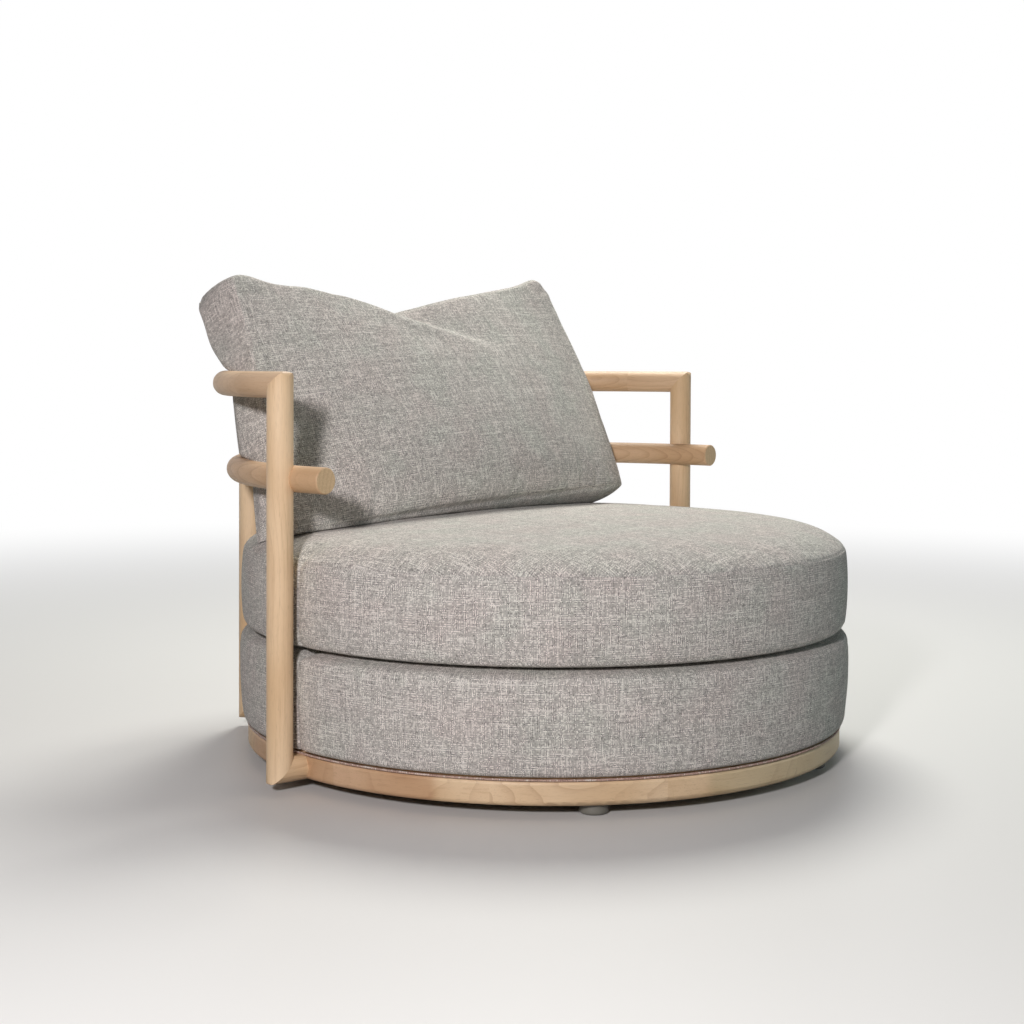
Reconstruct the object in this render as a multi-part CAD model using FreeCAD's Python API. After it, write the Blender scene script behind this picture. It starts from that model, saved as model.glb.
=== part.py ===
import FreeCAD
import Part
import functools
import math
import os

# Round lounge chair: an upholstered drum on a wooden ring, a loose round seat cushion, a loose back cushion
# and a horseshoe frame of round wooden dowels. Millimetres, +Z up, the chair faces -Y.
# Everything is built about the drum's axis, then moved so that the origin lies on the floor
# under the middle of the chair's outline. Angles are counted from +X, towards +Y at the back.

V = FreeCAD.Vector
ORIGIN = V(0, 0, 0)
X_AXIS = V(1, 0, 0)
Y_AXIS = V(0, 1, 0)
Z_AXIS = V(0, 0, 1)
HALF_TURN = 180.0
QUARTER_TURN = 90.0

# The drum's radius, which the ring, the cushion and the frame follow
drum_r = 532.0

# Driving dimensions of the wooden frame
dowel_d = 42.0
post_gap = 4.5
lower_rail_set_in = 23.5
top_rail_z = 640.0
lower_rail_z = 493.0
front_post_deg = 8.8
rear_post_deg = 64.2
lower_rail_end_deg = 0.0
top_rail_joint_deg = 20.3
rail_end_chamfer = 1.5
top_corner_round = 9.0
foot_corner_round = 4.0
# How much is taken off the thin lips of the saddle on top of a rear post
saddle_ease = 2.0

# Driving dimensions of the ring under the drum, and of its glides
plinth_set_in = 14.0
plinth_w = 46.0
plinth_h = 38.0
plinth_top_round = 6.0
plinth_foot_round = 8.0
stub_reach = 30.0
glide_d = 45.0
glide_h = 18.5
glide_edge_round = 5.0
glide_set_in = 38.0
glide_degs = (-205.0, -132.0, -71.0, -10.0, 51.0, 100.0)

# Driving dimensions of the drum
drum_h = 163.5
drum_top_round = 14.0
drum_foot_round = 8.0
drum_foot_in = 6.0
drum_belly = 2.5
welt_d = 5.0
cloth_t = 2.0
drum_foam_t = 25.0
side_panel_t = 4.0
base_board_t = 18.0
deck_board_t = 15.0
deck_pad_t = 12.0
deck_cloth_set_in = 62.0
upright_count = 8
upright_w = 60.0
upright_t = 38.0
dust_cover_t = 1.0
dust_cover_gap = 4.0

# The fold of cloth drawn in behind each post
lip_r = 9.0
lip_gap = 2.0
fold_overrun = 12.0

# Driving dimensions of the seat cushion
seat_set_in = 2.0
seat_side_h = 134.0
seat_foot_h = 9.0
seat_seam_in = 5.0
seat_shoulder_h = 33.0
seat_shoulder_w = 88.0
seat_crown_h = 11.0
seat_bend_share = 0.34

# Driving dimensions of the back cushion
back_w = 930.0
back_h = 459.0
back_t = 104.0
back_lean_deg = 24.0
back_roll_deg = 2.0
back_shift_x = 10.0
back_foot_set_in = 376.0
back_foot_lift = 4.7
back_bulge = 48.0
back_seam_bulge = 8.0
back_foot_bulge = 26.0

# Clearances and thicknesses shared by the cushions
cushion_gap = 0.3
cover_t = 4.0

# Hardware
pin_d = 12.0
rail_pin_l = 60.0
mitre_pin_l = 34.0
saddle_pin_l = 52.0
lap_pin_d = 10.0
lap_pin_l = 34.0
bolt_d = 8.0
bolt_head_d = 13.0
bolt_head_h = 5.3
bolt_recess_d = 22.0
bolt_recess_h = 9.0
bolt_clearance = 0.4
bolt_bite = 14.0
screw_d = 5.0
screw_head_d = 9.5
screw_head_h = 3.0
screw_bite = 14.0
plinth_screw_counts = {"right": 2, "back": 2, "left": 2, "front": 5}
glide_screw_bite = 22.0
glide_recess_h = 6.0

# Worked out from the values above
dowel_r = dowel_d / 2
post_circle_r = drum_r + post_gap + dowel_r
lower_rail_r = post_circle_r - lower_rail_set_in
plinth_outer_r = drum_r - plinth_set_in
glide_circle_r = plinth_outer_r - glide_set_in
deck_cloth_r = drum_r - deck_cloth_set_in
seat_r = drum_r - seat_set_in
plinth_bottom = glide_h
plinth_top = plinth_bottom + plinth_h
plinth_inner_r = plinth_outer_r - plinth_w
plinth_mid_r = plinth_outer_r - plinth_w / 2
stub_z = plinth_bottom + plinth_h / 2
stub_inner_r = plinth_inner_r - stub_reach
drum_top = plinth_top + drum_h
panel_outer_r = drum_r - cloth_t - drum_foam_t
board_r = panel_outer_r - side_panel_t
deck_top = drum_top - cloth_t - deck_pad_t
deck_bottom = deck_top - deck_board_t
base_board_top = plinth_top + base_board_t
seat_bottom = drum_top + cushion_gap
seat_low_seam_z = seat_bottom + seat_foot_h
seat_top_seam_z = seat_low_seam_z + seat_side_h
seat_shoulder_z = seat_top_seam_z + seat_shoulder_h
seat_crown_z = seat_shoulder_z + seat_crown_h
back_foot_y = lower_rail_r - back_foot_set_in
back_foot_z = seat_crown_z + back_foot_lift
hoop_outer_r = post_circle_r + dowel_r
axis_y = (drum_r - hoop_outer_r) / 2
post_degs = {
    "front_right": front_post_deg,
    "rear_right": rear_post_deg,
    "rear_left": HALF_TURN - rear_post_deg,
    "front_left": HALF_TURN - front_post_deg,
}


def radial(deg):
    """The unit vector that points out of the drum at an angle."""
    return V(math.cos(math.radians(deg)), math.sin(math.radians(deg)), 0)


def along(deg):
    """The unit vector along a rail at an angle, the way the angle grows."""
    return radial(deg + QUARTER_TURN)


def at(radius, deg, z):
    """A point given by its distance from the drum's axis, its angle and its height."""
    return radial(deg) * radius + Z_AXIS * z


def rz(radius, z):
    """A point of an outline that is turned about the drum's axis."""
    return V(radius, 0, z)


def arc(start, middle, end):
    return Part.Arc(start, middle, end).toShape()


def line(start, end):
    return Part.LineSegment(start, end).toShape()


def level_arc(level_end, other_end):
    """An arc of an outline that is level at one end, as a dome is at its top."""
    run = other_end.x - level_end.x
    rise = other_end.z - level_end.z
    arc_r = (run ** 2 + rise ** 2) / (2 * rise)
    depth = math.sqrt(arc_r ** 2 - (run / 2) ** 2)
    middle = rz(level_end.x + run / 2, level_end.z + arc_r - math.copysign(depth, rise))
    return arc(level_end, middle, other_end)


def rounding(start, corner, end):
    """A quarter arc from start to end, rounding off the square corner between them."""
    centre = start + end - corner
    middle = centre + (corner - centre).normalize() * (start - centre).Length
    return arc(start, middle, end)


def turned(edges):
    """The solid that a closed outline sweeps in a full turn about the drum's axis."""
    wire = Part.Wire(Part.__sortEdges__(edges))
    return Part.Face(wire).revolve(ORIGIN, Z_AXIS, 2 * HALF_TURN)


def disc(radius, bottom, top):
    return Part.makeCylinder(radius, top - bottom, Z_AXIS * bottom)


def band(inner_r, outer_r, bottom, top):
    return disc(outer_r, bottom, top).cut(disc(inner_r, bottom, top))


def rod(start, end, diameter):
    run = end - start
    return Part.makeCylinder(diameter / 2, run.Length, start, run)


def slab(size_u, size_v, height, centre, direction_u):
    """A block that stands on centre, with its first side along direction_u."""
    block = Part.makeBox(size_u, size_v, height, V(-size_u / 2, -size_v / 2, 0))
    turn = math.degrees(math.atan2(direction_u.y, direction_u.x))
    block.rotate(ORIGIN, Z_AXIS, turn)
    block.translate(centre)
    return block


# Wooden frame


def rail_arc(centre_r, z, start_deg, end_deg, diameter):
    """Part of a ring of round wood."""
    section = Part.Face(Part.Wire(Part.makeCircle(diameter / 2, rz(centre_r, z), Y_AXIS)))
    section.rotate(ORIGIN, Z_AXIS, start_deg)
    return section.revolve(ORIGIN, Z_AXIS, end_deg - start_deg)


def half_space(point, normal):
    """A block that fills the side of a plane that the normal points to, larger than any joint."""
    size = 4 * dowel_d
    block = Part.makeBox(size, size, size, V(-size / 2, -size / 2, 0))
    block.Placement = FreeCAD.Placement(point, FreeCAD.Rotation(Z_AXIS, normal))
    return block


def corner_trim(point, out_a, out_b, radius):
    """What sanding takes off the sharp outer corner between two mitred dowels."""
    size = 2 * dowel_d
    side = out_a.cross(out_b)
    inner = point + (out_a + out_b) * (dowel_r - radius)
    square = Part.makeBox(size, size, size, V(0, 0, -size / 2))
    turn = FreeCAD.Rotation(out_a, out_b, side, "XYZ")
    square.Placement = FreeCAD.Placement(inner, turn)
    core = rod(inner - side * size, inner + side * size, 2 * radius)
    return square.cut(core)


@functools.cache
def rail_pins():
    """Loose pins inside the butt joints of both rails."""
    places = [(post_circle_r, top_rail_z, deg) for deg in top_joint_degs()]
    places.append((lower_rail_r, lower_rail_z, QUARTER_TURN))
    pins = []
    for radius, z, deg in places:
        middle = at(radius, deg, z)
        pins.append(rod(middle - along(deg) * rail_pin_l / 2, middle + along(deg) * rail_pin_l / 2, pin_d))
    return pins


def top_joint_degs():
    return (top_rail_joint_deg, QUARTER_TURN, HALF_TURN - top_rail_joint_deg)


def to_back(deg):
    """The way that the top rail leaves a front post."""
    return along(deg) if deg < QUARTER_TURN else along(deg) * -1


@functools.cache
def mitre_pins():
    """Loose pins across the mitres at the top of the front posts and at the foot of every post."""
    pins = []
    for name, deg in post_degs.items():
        foot = at(post_circle_r, deg, stub_z)
        cross = (Z_AXIS + radial(deg)).normalize() * mitre_pin_l / 2
        pins.append(rod(foot - cross, foot + cross, pin_d))
        if name.startswith("front"):
            head = at(post_circle_r, deg, top_rail_z)
            cross = (Z_AXIS + to_back(deg)).normalize() * mitre_pin_l / 2
            pins.append(rod(head - cross, head + cross, pin_d))
    return pins


@functools.cache
def saddle_pins():
    """Upright pins that tie the rear posts to the top rail."""
    pins = []
    for name in ("rear_left", "rear_right"):
        seat = at(post_circle_r, post_degs[name], top_rail_z - dowel_r)
        pins.append(rod(seat - Z_AXIS * saddle_pin_l / 2, seat + Z_AXIS * saddle_pin_l / 2, pin_d))
    return pins


@functools.cache
def lap_pins():
    """Level pins that tie the lower rail into its housing in every post."""
    pins = []
    for deg in post_degs.values():
        middle = at((lower_rail_r + post_circle_r) / 2, deg, lower_rail_z)
        pins.append(rod(middle - radial(deg) * lap_pin_l / 2, middle + radial(deg) * lap_pin_l / 2, lap_pin_d))
    return pins


@functools.cache
def stub_bolts():
    """Bolts that hold each stub up under the drum's base board."""
    bolts = []
    for deg in post_degs.values():
        for radius in (stub_inner_r + bolt_recess_d, plinth_outer_r - bolt_recess_d):
            head = at(radius, deg, stub_z - dowel_r + bolt_recess_h)
            shank = rod(head, at(radius, deg, plinth_top + bolt_bite), bolt_d)
            cap = Part.Face(Part.makePolygon(hexagon(head, bolt_head_d))).extrude(Z_AXIS * -bolt_head_h)
            bolts.append(shank.fuse(cap).removeSplitter())
    return bolts


def hexagon(centre, across_flats):
    corner_r = across_flats / 2 / math.cos(math.radians(QUARTER_TURN / 3))
    corners = [centre + radial(QUARTER_TURN * 2 * step / 3) * corner_r for step in range(6)]
    return corners + corners[:1]


@functools.cache
def bolt_ways():
    """Holes and recesses for the stub bolts."""
    ways = []
    for deg in post_degs.values():
        for radius in (stub_inner_r + bolt_recess_d, plinth_outer_r - bolt_recess_d):
            low = at(radius, deg, stub_z - dowel_d)
            recess_end = at(radius, deg, stub_z - dowel_r + bolt_recess_h)
            ways.append(rod(low, recess_end, bolt_recess_d))
            ways.append(rod(recess_end, at(radius, deg, plinth_top), bolt_d + 2 * bolt_clearance))
    return ways


def post(deg, mitred_top):
    """One upright dowel, mitred at its foot, housed for the lower rail."""
    foot = at(post_circle_r, deg, stub_z)
    head = at(post_circle_r, deg, top_rail_z)
    solid = rod(foot - Z_AXIS * dowel_r, head + Z_AXIS * dowel_r, dowel_d)
    solid = solid.cut(half_space(foot, (Z_AXIS + radial(deg)) * -1))
    solid = solid.cut(corner_trim(foot, radial(deg), Z_AXIS * -1, foot_corner_round))
    if mitred_top:
        solid = solid.cut(half_space(head, Z_AXIS + to_back(deg)))
        solid = solid.cut(corner_trim(head, to_back(deg) * -1, Z_AXIS, top_corner_round))
    else:
        solid = solid.cut(half_space(head - Z_AXIS * saddle_ease, Z_AXIS))
        solid = solid.cut(rail_arc(post_circle_r, top_rail_z, deg - front_post_deg, deg + front_post_deg, dowel_d))
    solid = solid.cut(rail_arc(lower_rail_r, lower_rail_z, deg - front_post_deg, deg + front_post_deg, dowel_d))
    return solid.cut(mitre_pins() + saddle_pins() + lap_pins())


def stub(deg):
    """The level dowel from a post's foot, through the ring, to under the drum."""
    foot = at(post_circle_r, deg, stub_z)
    solid = rod(at(stub_inner_r, deg, stub_z), foot + radial(deg) * dowel_r, dowel_d)
    solid = solid.cut(half_space(foot, Z_AXIS + radial(deg)))
    solid = solid.cut(corner_trim(foot, radial(deg), Z_AXIS * -1, foot_corner_round))
    solid = solid.cut(disc(drum_r, plinth_top, plinth_top + dowel_r))
    return solid.cut(mitre_pins() + bolt_ways())


def top_rail_piece(start_deg, end_deg):
    """A piece of the top rail, mitred where it ends over a front post."""
    over_deg = math.degrees(dowel_r / post_circle_r)
    low, high = start_deg, end_deg
    if start_deg == front_post_deg:
        low = start_deg - over_deg
    if end_deg == HALF_TURN - front_post_deg:
        high = end_deg + over_deg
    solid = rail_arc(post_circle_r, top_rail_z, low, high, dowel_d)
    for deg in (front_post_deg, HALF_TURN - front_post_deg):
        if deg in (start_deg, end_deg):
            head = at(post_circle_r, deg, top_rail_z)
            solid = solid.cut(half_space(head, (Z_AXIS + to_back(deg)) * -1))
            solid = solid.cut(corner_trim(head, to_back(deg) * -1, Z_AXIS, top_corner_round))
    return solid.cut(mitre_pins() + saddle_pins() + rail_pins())


def lower_rail_piece(start_deg, end_deg):
    """Half of the lower rail, with its free end eased."""
    solid = rail_arc(lower_rail_r, lower_rail_z, start_deg, end_deg, dowel_d)
    free_deg = start_deg if start_deg == lower_rail_end_deg else end_deg
    free_end = at(lower_rail_r, free_deg, lower_rail_z)
    rims = [edge for edge in solid.Edges if edge.CenterOfMass.distanceToPoint(free_end) < rail_end_chamfer]
    solid = solid.makeChamfer(rail_end_chamfer, rims)
    return solid.cut(lap_pins() + rail_pins())


# Ring, glides and base hardware


def plinth_arcs():
    """Angles of the ring's four arcs, from stub to stub."""
    degs = sorted(post_degs.values())
    return {
        "right": (degs[0], degs[1]),
        "back": (degs[1], degs[2]),
        "left": (degs[2], degs[3]),
        "front": (degs[3], degs[0] + 2 * HALF_TURN),
    }


def plinth_section():
    """Outline of the ring's section, with its outer edges rounded."""
    top_start = rz(plinth_outer_r, plinth_top - plinth_top_round)
    top_end = rz(plinth_outer_r - plinth_top_round, plinth_top)
    foot_start = rz(plinth_outer_r - plinth_foot_round, plinth_bottom)
    foot_end = rz(plinth_outer_r, plinth_bottom + plinth_foot_round)
    return [
        line(rz(plinth_inner_r, plinth_bottom), foot_start),
        rounding(foot_start, rz(plinth_outer_r, plinth_bottom), foot_end),
        line(foot_end, top_start),
        rounding(top_start, rz(plinth_outer_r, plinth_top), top_end),
        line(top_end, rz(plinth_inner_r, plinth_top)),
        line(rz(plinth_inner_r, plinth_top), rz(plinth_inner_r, plinth_bottom)),
    ]


@functools.cache
def stub_blanks():
    """The stubs' full round stock, which the ring is cut to fit."""
    return [rod(at(stub_inner_r, deg, stub_z), at(drum_r, deg, stub_z), dowel_d) for deg in post_degs.values()]


def plinth_arc(start_deg, end_deg):
    """One arc of the ring, fitted round the stubs at its ends."""
    section = Part.Face(Part.Wire(Part.__sortEdges__(plinth_section())))
    section.rotate(ORIGIN, Z_AXIS, start_deg)
    solid = section.revolve(ORIGIN, Z_AXIS, end_deg - start_deg)
    pieces = solid.cut(stub_blanks()).Solids
    main = max(pieces, key=lambda piece: piece.Volume)
    return main.cut(plinth_screws() + glide_screws())


def screw(head_centre, tip, head_up):
    """A countersunk wood screw, its head at head_centre."""
    direction = (tip - head_centre).normalize()
    cone = Part.makeCone(screw_head_d / 2, screw_d / 2, screw_head_h, head_centre, direction)
    shank = rod(head_centre, tip, screw_d)
    flat_top = rod(head_centre - direction * head_up, head_centre, screw_head_d)
    return shank.fuse([cone, flat_top]).removeSplitter()


@functools.cache
def plinth_screws():
    """Screws up through the ring into the drum's base board."""
    screws = []
    radius = plinth_inner_r + screw_head_d
    for name, (start_deg, end_deg) in plinth_arcs().items():
        step = (end_deg - start_deg) / (plinth_screw_counts[name] + 1)
        for index in range(plinth_screw_counts[name]):
            deg = start_deg + step * (index + 1)
            head = at(radius, deg, plinth_bottom + screw_head_h)
            screws.append(screw(head, at(radius, deg, plinth_top + screw_bite), screw_head_h))
    return screws


@functools.cache
def glide_screws():
    """One screw up through each glide into the ring."""
    screws = []
    for deg in glide_degs:
        head = at(glide_circle_r, deg, glide_recess_h)
        screws.append(screw(head, at(glide_circle_r, deg, plinth_bottom + glide_screw_bite), screw_head_h / 2))
    return screws


def glide(deg):
    """A round plastic glide with a sunk screw and an eased edge."""
    foot = at(glide_circle_r, deg, 0)
    solid = rod(foot, foot + Z_AXIS * glide_h, glide_d)
    rims = [edge for edge in solid.Edges if edge.CenterOfMass.z < glide_edge_round and len(edge.Vertexes) == 1]
    solid = solid.makeFillet(glide_edge_round, rims)
    recess = rod(foot, foot + Z_AXIS * glide_recess_h, 2 * screw_head_d)
    return solid.cut([recess] + glide_screws())


# Drum


def fold_cutters(outer_r, inset, bottom, top):
    """Prisms that part the cloth into two rounded lips behind each post."""
    centre_r = outer_r - lip_r
    side = lip_r + lip_gap / 2
    small_r = lip_r - inset
    inner = lip_gap / 2 + inset
    diagonal = math.sqrt(0.5)
    over_r = outer_r + fold_overrun
    tops = (V(centre_r + small_r, -side, 0), V(centre_r + small_r, side, 0))
    floors = (V(centre_r, -inner, 0), V(centre_r, inner, 0))
    middles = (
        V(centre_r + small_r * diagonal, -side + small_r * diagonal, 0),
        V(centre_r + small_r * diagonal, side - small_r * diagonal, 0),
    )
    outline = [
        arc(tops[0], middles[0], floors[0]),
        line(floors[0], floors[1]),
        arc(floors[1], middles[1], tops[1]),
        line(tops[1], V(over_r, side, 0)),
        line(V(over_r, side, 0), V(over_r, -side, 0)),
        line(V(over_r, -side, 0), tops[0]),
    ]
    prism = Part.Face(Part.Wire(outline)).extrude(Z_AXIS * (top - bottom))
    prism.translate(Z_AXIS * bottom)
    cutters = []
    for deg in post_degs.values():
        cutter = prism.copy()
        cutter.rotate(ORIGIN, Z_AXIS, deg)
        cutters.append(cutter)
    return cutters


@functools.cache
def drum_form(inset):
    """The upholstered drum as a solid, each outer face drawn in by inset."""
    side_r = drum_r - inset
    top_z = drum_top - inset
    round_r = drum_top_round - inset
    foot_r = drum_r - drum_foot_in - inset
    step_r = plinth_outer_r - welt_d / 2 - inset
    step_z = plinth_top + welt_d + inset
    foot_start = rz(foot_r - drum_foot_round, step_z)
    foot_end = rz(foot_r, step_z + drum_foot_round)
    belly_z = (foot_end.z + top_z) / 2
    top_start = rz(side_r - drum_belly, top_z - round_r)
    top_end = rz(side_r - drum_belly - round_r, top_z)
    outline = [
        line(rz(0, plinth_top), rz(step_r, plinth_top)),
        line(rz(step_r, plinth_top), rz(step_r, step_z)),
        line(rz(step_r, step_z), foot_start),
        rounding(foot_start, rz(foot_r, step_z), foot_end),
        arc(foot_end, rz(side_r, belly_z), top_start),
        rounding(top_start, rz(side_r - drum_belly, top_z), top_end),
        line(top_end, rz(0, top_z)),
        line(rz(0, top_z), rz(0, plinth_top)),
    ]
    return turned(outline).cut(fold_cutters(drum_r, inset, plinth_top, drum_top))


@functools.cache
def drum_skin():
    """All of the drum's cloth, a cup turned over the padding."""
    return drum_form(0).cut(drum_form(cloth_t))


def drum_cover():
    """The outer cloth: the side and a rim turned over the top."""
    return drum_skin().cut(disc(deck_cloth_r, plinth_top, drum_top))


def deck_cloth():
    """The plain cloth on top, under the seat cushion."""
    return drum_skin().common(disc(deck_cloth_r, plinth_top, drum_top))


def drum_foam():
    """The foam wrapped round the side panel."""
    return drum_form(cloth_t).cut(disc(panel_outer_r, plinth_top, drum_top))


def deck_pad():
    """The thin pad on the deck board."""
    return drum_form(cloth_t).common(disc(panel_outer_r, deck_top, drum_top))


def drum_welt():
    """The cord of piping where the cloth meets the ring."""
    return Part.makeTorus(plinth_outer_r, welt_d / 2, Z_AXIS * (plinth_top + welt_d / 2))


def base_board():
    return disc(board_r, plinth_top, base_board_top).cut(board_fixings())


def board_fixings():
    """Every bolt and screw that bites into the base board."""
    return stub_bolts() + plinth_screws()


def upright(index):
    """One of the wooden posts between the base board and the deck board."""
    deg = 2 * HALF_TURN * (index + 0.5) / upright_count
    centre = at(board_r - upright_t, deg, base_board_top)
    return slab(upright_t, upright_w, deck_bottom - base_board_top, centre, radial(deg))


# Cushions


def seat_outline(inset):
    """The round seat cushion's outline: drawn-in seams, a soft side and a low crown."""
    low = seat_bottom + inset
    seam_r = seat_r - seat_seam_in - inset
    low_seam = rz(seam_r, seat_low_seam_z)
    top_seam = rz(seam_r, seat_top_seam_z - inset)
    side_middle = rz(seat_r - inset, (low_seam.z + top_seam.z) / 2)
    foot = rz(seam_r - 2 * seat_foot_h, low)
    shoulder = rz(seat_r - seat_shoulder_w, seat_shoulder_z - inset)
    bend = rz(
        seam_r - seat_shoulder_w * seat_bend_share,
        top_seam.z + seat_shoulder_h * (1 - seat_bend_share / 2),
    )
    crown = rz(0, seat_crown_z - inset)
    return [
        line(rz(0, low), foot),
        level_arc(foot, low_seam),
        arc(low_seam, side_middle, top_seam),
        arc(top_seam, bend, shoulder),
        level_arc(crown, shoulder),
        line(crown, rz(0, low)),
    ]


@functools.cache
def seat_form(inset):
    """The round seat cushion as a solid, each outer face drawn in by inset."""
    return turned(seat_outline(inset)).cut(fold_cutters(seat_r, inset, seat_bottom, seat_crown_z))


def seat_cover():
    return seat_form(0).cut(seat_form(cover_t))


def seat_foam():
    return seat_form(cover_t).copy()


# Half of the back cushion's sections, from its side to its middle, each with its place, its lowest and its
# highest point, how much of the full bulge it has and how much of the full thickness its seams keep.
back_section_shares = (
    (1.00, 0.26, 0.70, 0.10, 0.72),
    (0.98, 0.09, 0.89, 0.12, 0.90),
    (0.94, 0.02, 0.97, 0.20, 1.00),
    (0.86, 0.00, 1.00, 0.42, 1.00),
    (0.60, 0.00, 0.98, 0.82, 1.00),
    (0.30, 0.00, 0.93, 0.97, 1.00),
    (0.10, 0.00, 0.85, 1.00, 1.00),
)


def back_section(side, shares, inset):
    """One upright slice of the back cushion, in its own frame: depth along Y, height along Z."""
    x_share, low_share, high_share, bulge_share, thick_share = shares
    x = side * x_share * (back_w / 2 - inset)
    low = back_h * low_share + inset
    high = back_h * high_share - inset
    middle = (low + high) / 2
    slack = back_t * (1 - thick_share) / 2
    front = slack + inset
    back = back_t - slack - inset
    bulge = back_seam_bulge + (back_bulge - back_seam_bulge) * bulge_share
    seam_bulge = back_seam_bulge * bulge_share + back_seam_bulge
    foot_bulge = back_foot_bulge * bulge_share
    depth_middle = (front + back) / 2
    return Part.Wire([
        arc(V(x, front, low), V(x, front - bulge, middle), V(x, front, high)),
        arc(V(x, front, high), V(x, depth_middle, high + seam_bulge), V(x, back, high)),
        arc(V(x, back, high), V(x, back + bulge, middle), V(x, back, low)),
        arc(V(x, back, low), V(x, depth_middle, low - foot_bulge - inset), V(x, front, low)),
    ])


def rail_envelope(gap):
    """The space that the leaning cushion may not enter: both rails, and what lies behind and under them."""
    low_in_r = lower_rail_r - dowel_r - gap
    top_in_r = post_circle_r - dowel_r - gap
    reach = dowel_r + gap
    diagonal = math.sqrt(0.5) * reach
    floor_z = seat_bottom
    far_r = 2 * post_circle_r
    low_crest = rz(lower_rail_r, lower_rail_z + reach)
    top_crest = rz(post_circle_r, top_rail_z + reach)
    outline = [
        line(rz(low_in_r, floor_z), rz(low_in_r, lower_rail_z)),
        arc(rz(low_in_r, lower_rail_z), rz(lower_rail_r - diagonal, lower_rail_z + diagonal), low_crest),
        line(low_crest, rz(top_in_r, low_crest.z)),
        line(rz(top_in_r, low_crest.z), rz(top_in_r, top_rail_z)),
        arc(rz(top_in_r, top_rail_z), rz(post_circle_r - diagonal, top_rail_z + diagonal), top_crest),
        line(top_crest, rz(far_r, top_crest.z)),
        line(rz(far_r, top_crest.z), rz(far_r, floor_z)),
        line(rz(far_r, floor_z), rz(low_in_r, floor_z)),
    ]
    return turned(outline)


@functools.cache
def back_form(inset):
    """The back cushion as a solid, leaning on the rails and resting on the seat."""
    left = [back_section(-1, shares, inset) for shares in back_section_shares]
    right = [back_section(1, shares, inset) for shares in reversed(back_section_shares)]
    solid = Part.makeLoft(left + right, True, False)
    solid.rotate(ORIGIN, X_AXIS, -back_lean_deg)
    solid.rotate(ORIGIN, Y_AXIS, -back_roll_deg)
    solid.translate(V(back_shift_x, back_foot_y, back_foot_z))
    gap = cushion_gap + inset
    pieces = solid.cut([rail_envelope(gap), turned(seat_outline(-gap))]).Solids
    return max(pieces, key=lambda piece: piece.Volume)


def back_cover():
    return back_form(0).cut(back_form(cover_t))


def back_fill():
    return back_form(cover_t).copy()


# The whole chair, node by node


def frame_nodes():
    left = HALF_TURN - front_post_deg
    joints = top_joint_degs()
    nodes = {
        "top_rail_front_right": top_rail_piece(front_post_deg, joints[0]),
        "top_rail_back_right": top_rail_piece(joints[0], joints[1]),
        "top_rail_back_left": top_rail_piece(joints[1], joints[2]),
        "top_rail_front_left": top_rail_piece(joints[2], left),
        "lower_rail_right": lower_rail_piece(lower_rail_end_deg, QUARTER_TURN),
        "lower_rail_left": lower_rail_piece(QUARTER_TURN, HALF_TURN - lower_rail_end_deg),
    }
    for name, deg in post_degs.items():
        nodes[name + "_post"] = post(deg, name.startswith("front"))
        nodes[name + "_stub"] = stub(deg)
    return nodes


def base_nodes():
    nodes = {}
    for name, degs in plinth_arcs().items():
        nodes["plinth_ring_" + name] = plinth_arc(*degs)
    for index, deg in enumerate(glide_degs):
        nodes["glide_" + str(index + 1)] = glide(deg)
    return nodes


def drum_nodes():
    nodes = {
        "base_board": base_board(),
        "deck_board": disc(board_r, deck_bottom, deck_top),
        "side_panel": band(board_r, panel_outer_r, plinth_top, deck_top),
        "side_foam": drum_foam(),
        "deck_pad": deck_pad(),
        "deck_cloth": deck_cloth(),
        "drum_cover": drum_cover(),
        "drum_welt": drum_welt(),
        "dust_cover": disc(stub_inner_r - dust_cover_gap, plinth_top - dust_cover_t, plinth_top),
    }
    for index in range(upright_count):
        nodes["upright_" + str(index + 1)] = upright(index)
    return nodes


def cushion_nodes():
    return {
        "seat_cushion_cover": seat_cover(),
        "seat_cushion_foam": seat_foam(),
        "back_cushion_cover": back_cover(),
        "back_cushion_fill": back_fill(),
    }


def hardware_nodes():
    groups = {
        "rail_joint_pins": rail_pins(),
        "mitre_pins": mitre_pins(),
        "rear_post_pins": saddle_pins(),
        "lap_pins": lap_pins(),
        "stub_bolts": stub_bolts(),
        "plinth_screws": plinth_screws(),
        "glide_screws": glide_screws(),
    }
    return {name: Part.makeCompound(solids) for name, solids in groups.items()}


os.makedirs("parts", exist_ok=True)
all_nodes = {}
for group in (frame_nodes, base_nodes, drum_nodes, cushion_nodes, hardware_nodes):
    all_nodes.update(group())
for node_name, shape in all_nodes.items():
    shape.translate(Y_AXIS * axis_y)
    shape.exportStep("parts/" + node_name + ".step")
print(len(all_nodes), "nodes")
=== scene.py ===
import functools
import math

import bmesh
import bpy
import numpy as np
from mathutils import Euler, Matrix, Vector, noise


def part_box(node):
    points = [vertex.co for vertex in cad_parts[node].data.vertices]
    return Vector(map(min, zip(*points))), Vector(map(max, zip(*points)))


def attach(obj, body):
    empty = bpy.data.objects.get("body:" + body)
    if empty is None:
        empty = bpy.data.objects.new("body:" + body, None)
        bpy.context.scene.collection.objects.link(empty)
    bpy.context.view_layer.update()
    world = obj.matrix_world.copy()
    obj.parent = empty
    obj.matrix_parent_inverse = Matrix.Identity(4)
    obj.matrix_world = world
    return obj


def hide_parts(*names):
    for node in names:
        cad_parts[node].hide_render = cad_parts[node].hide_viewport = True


# Round lounge chair: a drum on a wooden ring, a loose round seat cushion, a loose back cushion and a
# horseshoe frame of round dowels. Metres, +Z up, the chair faces -Y.

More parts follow.
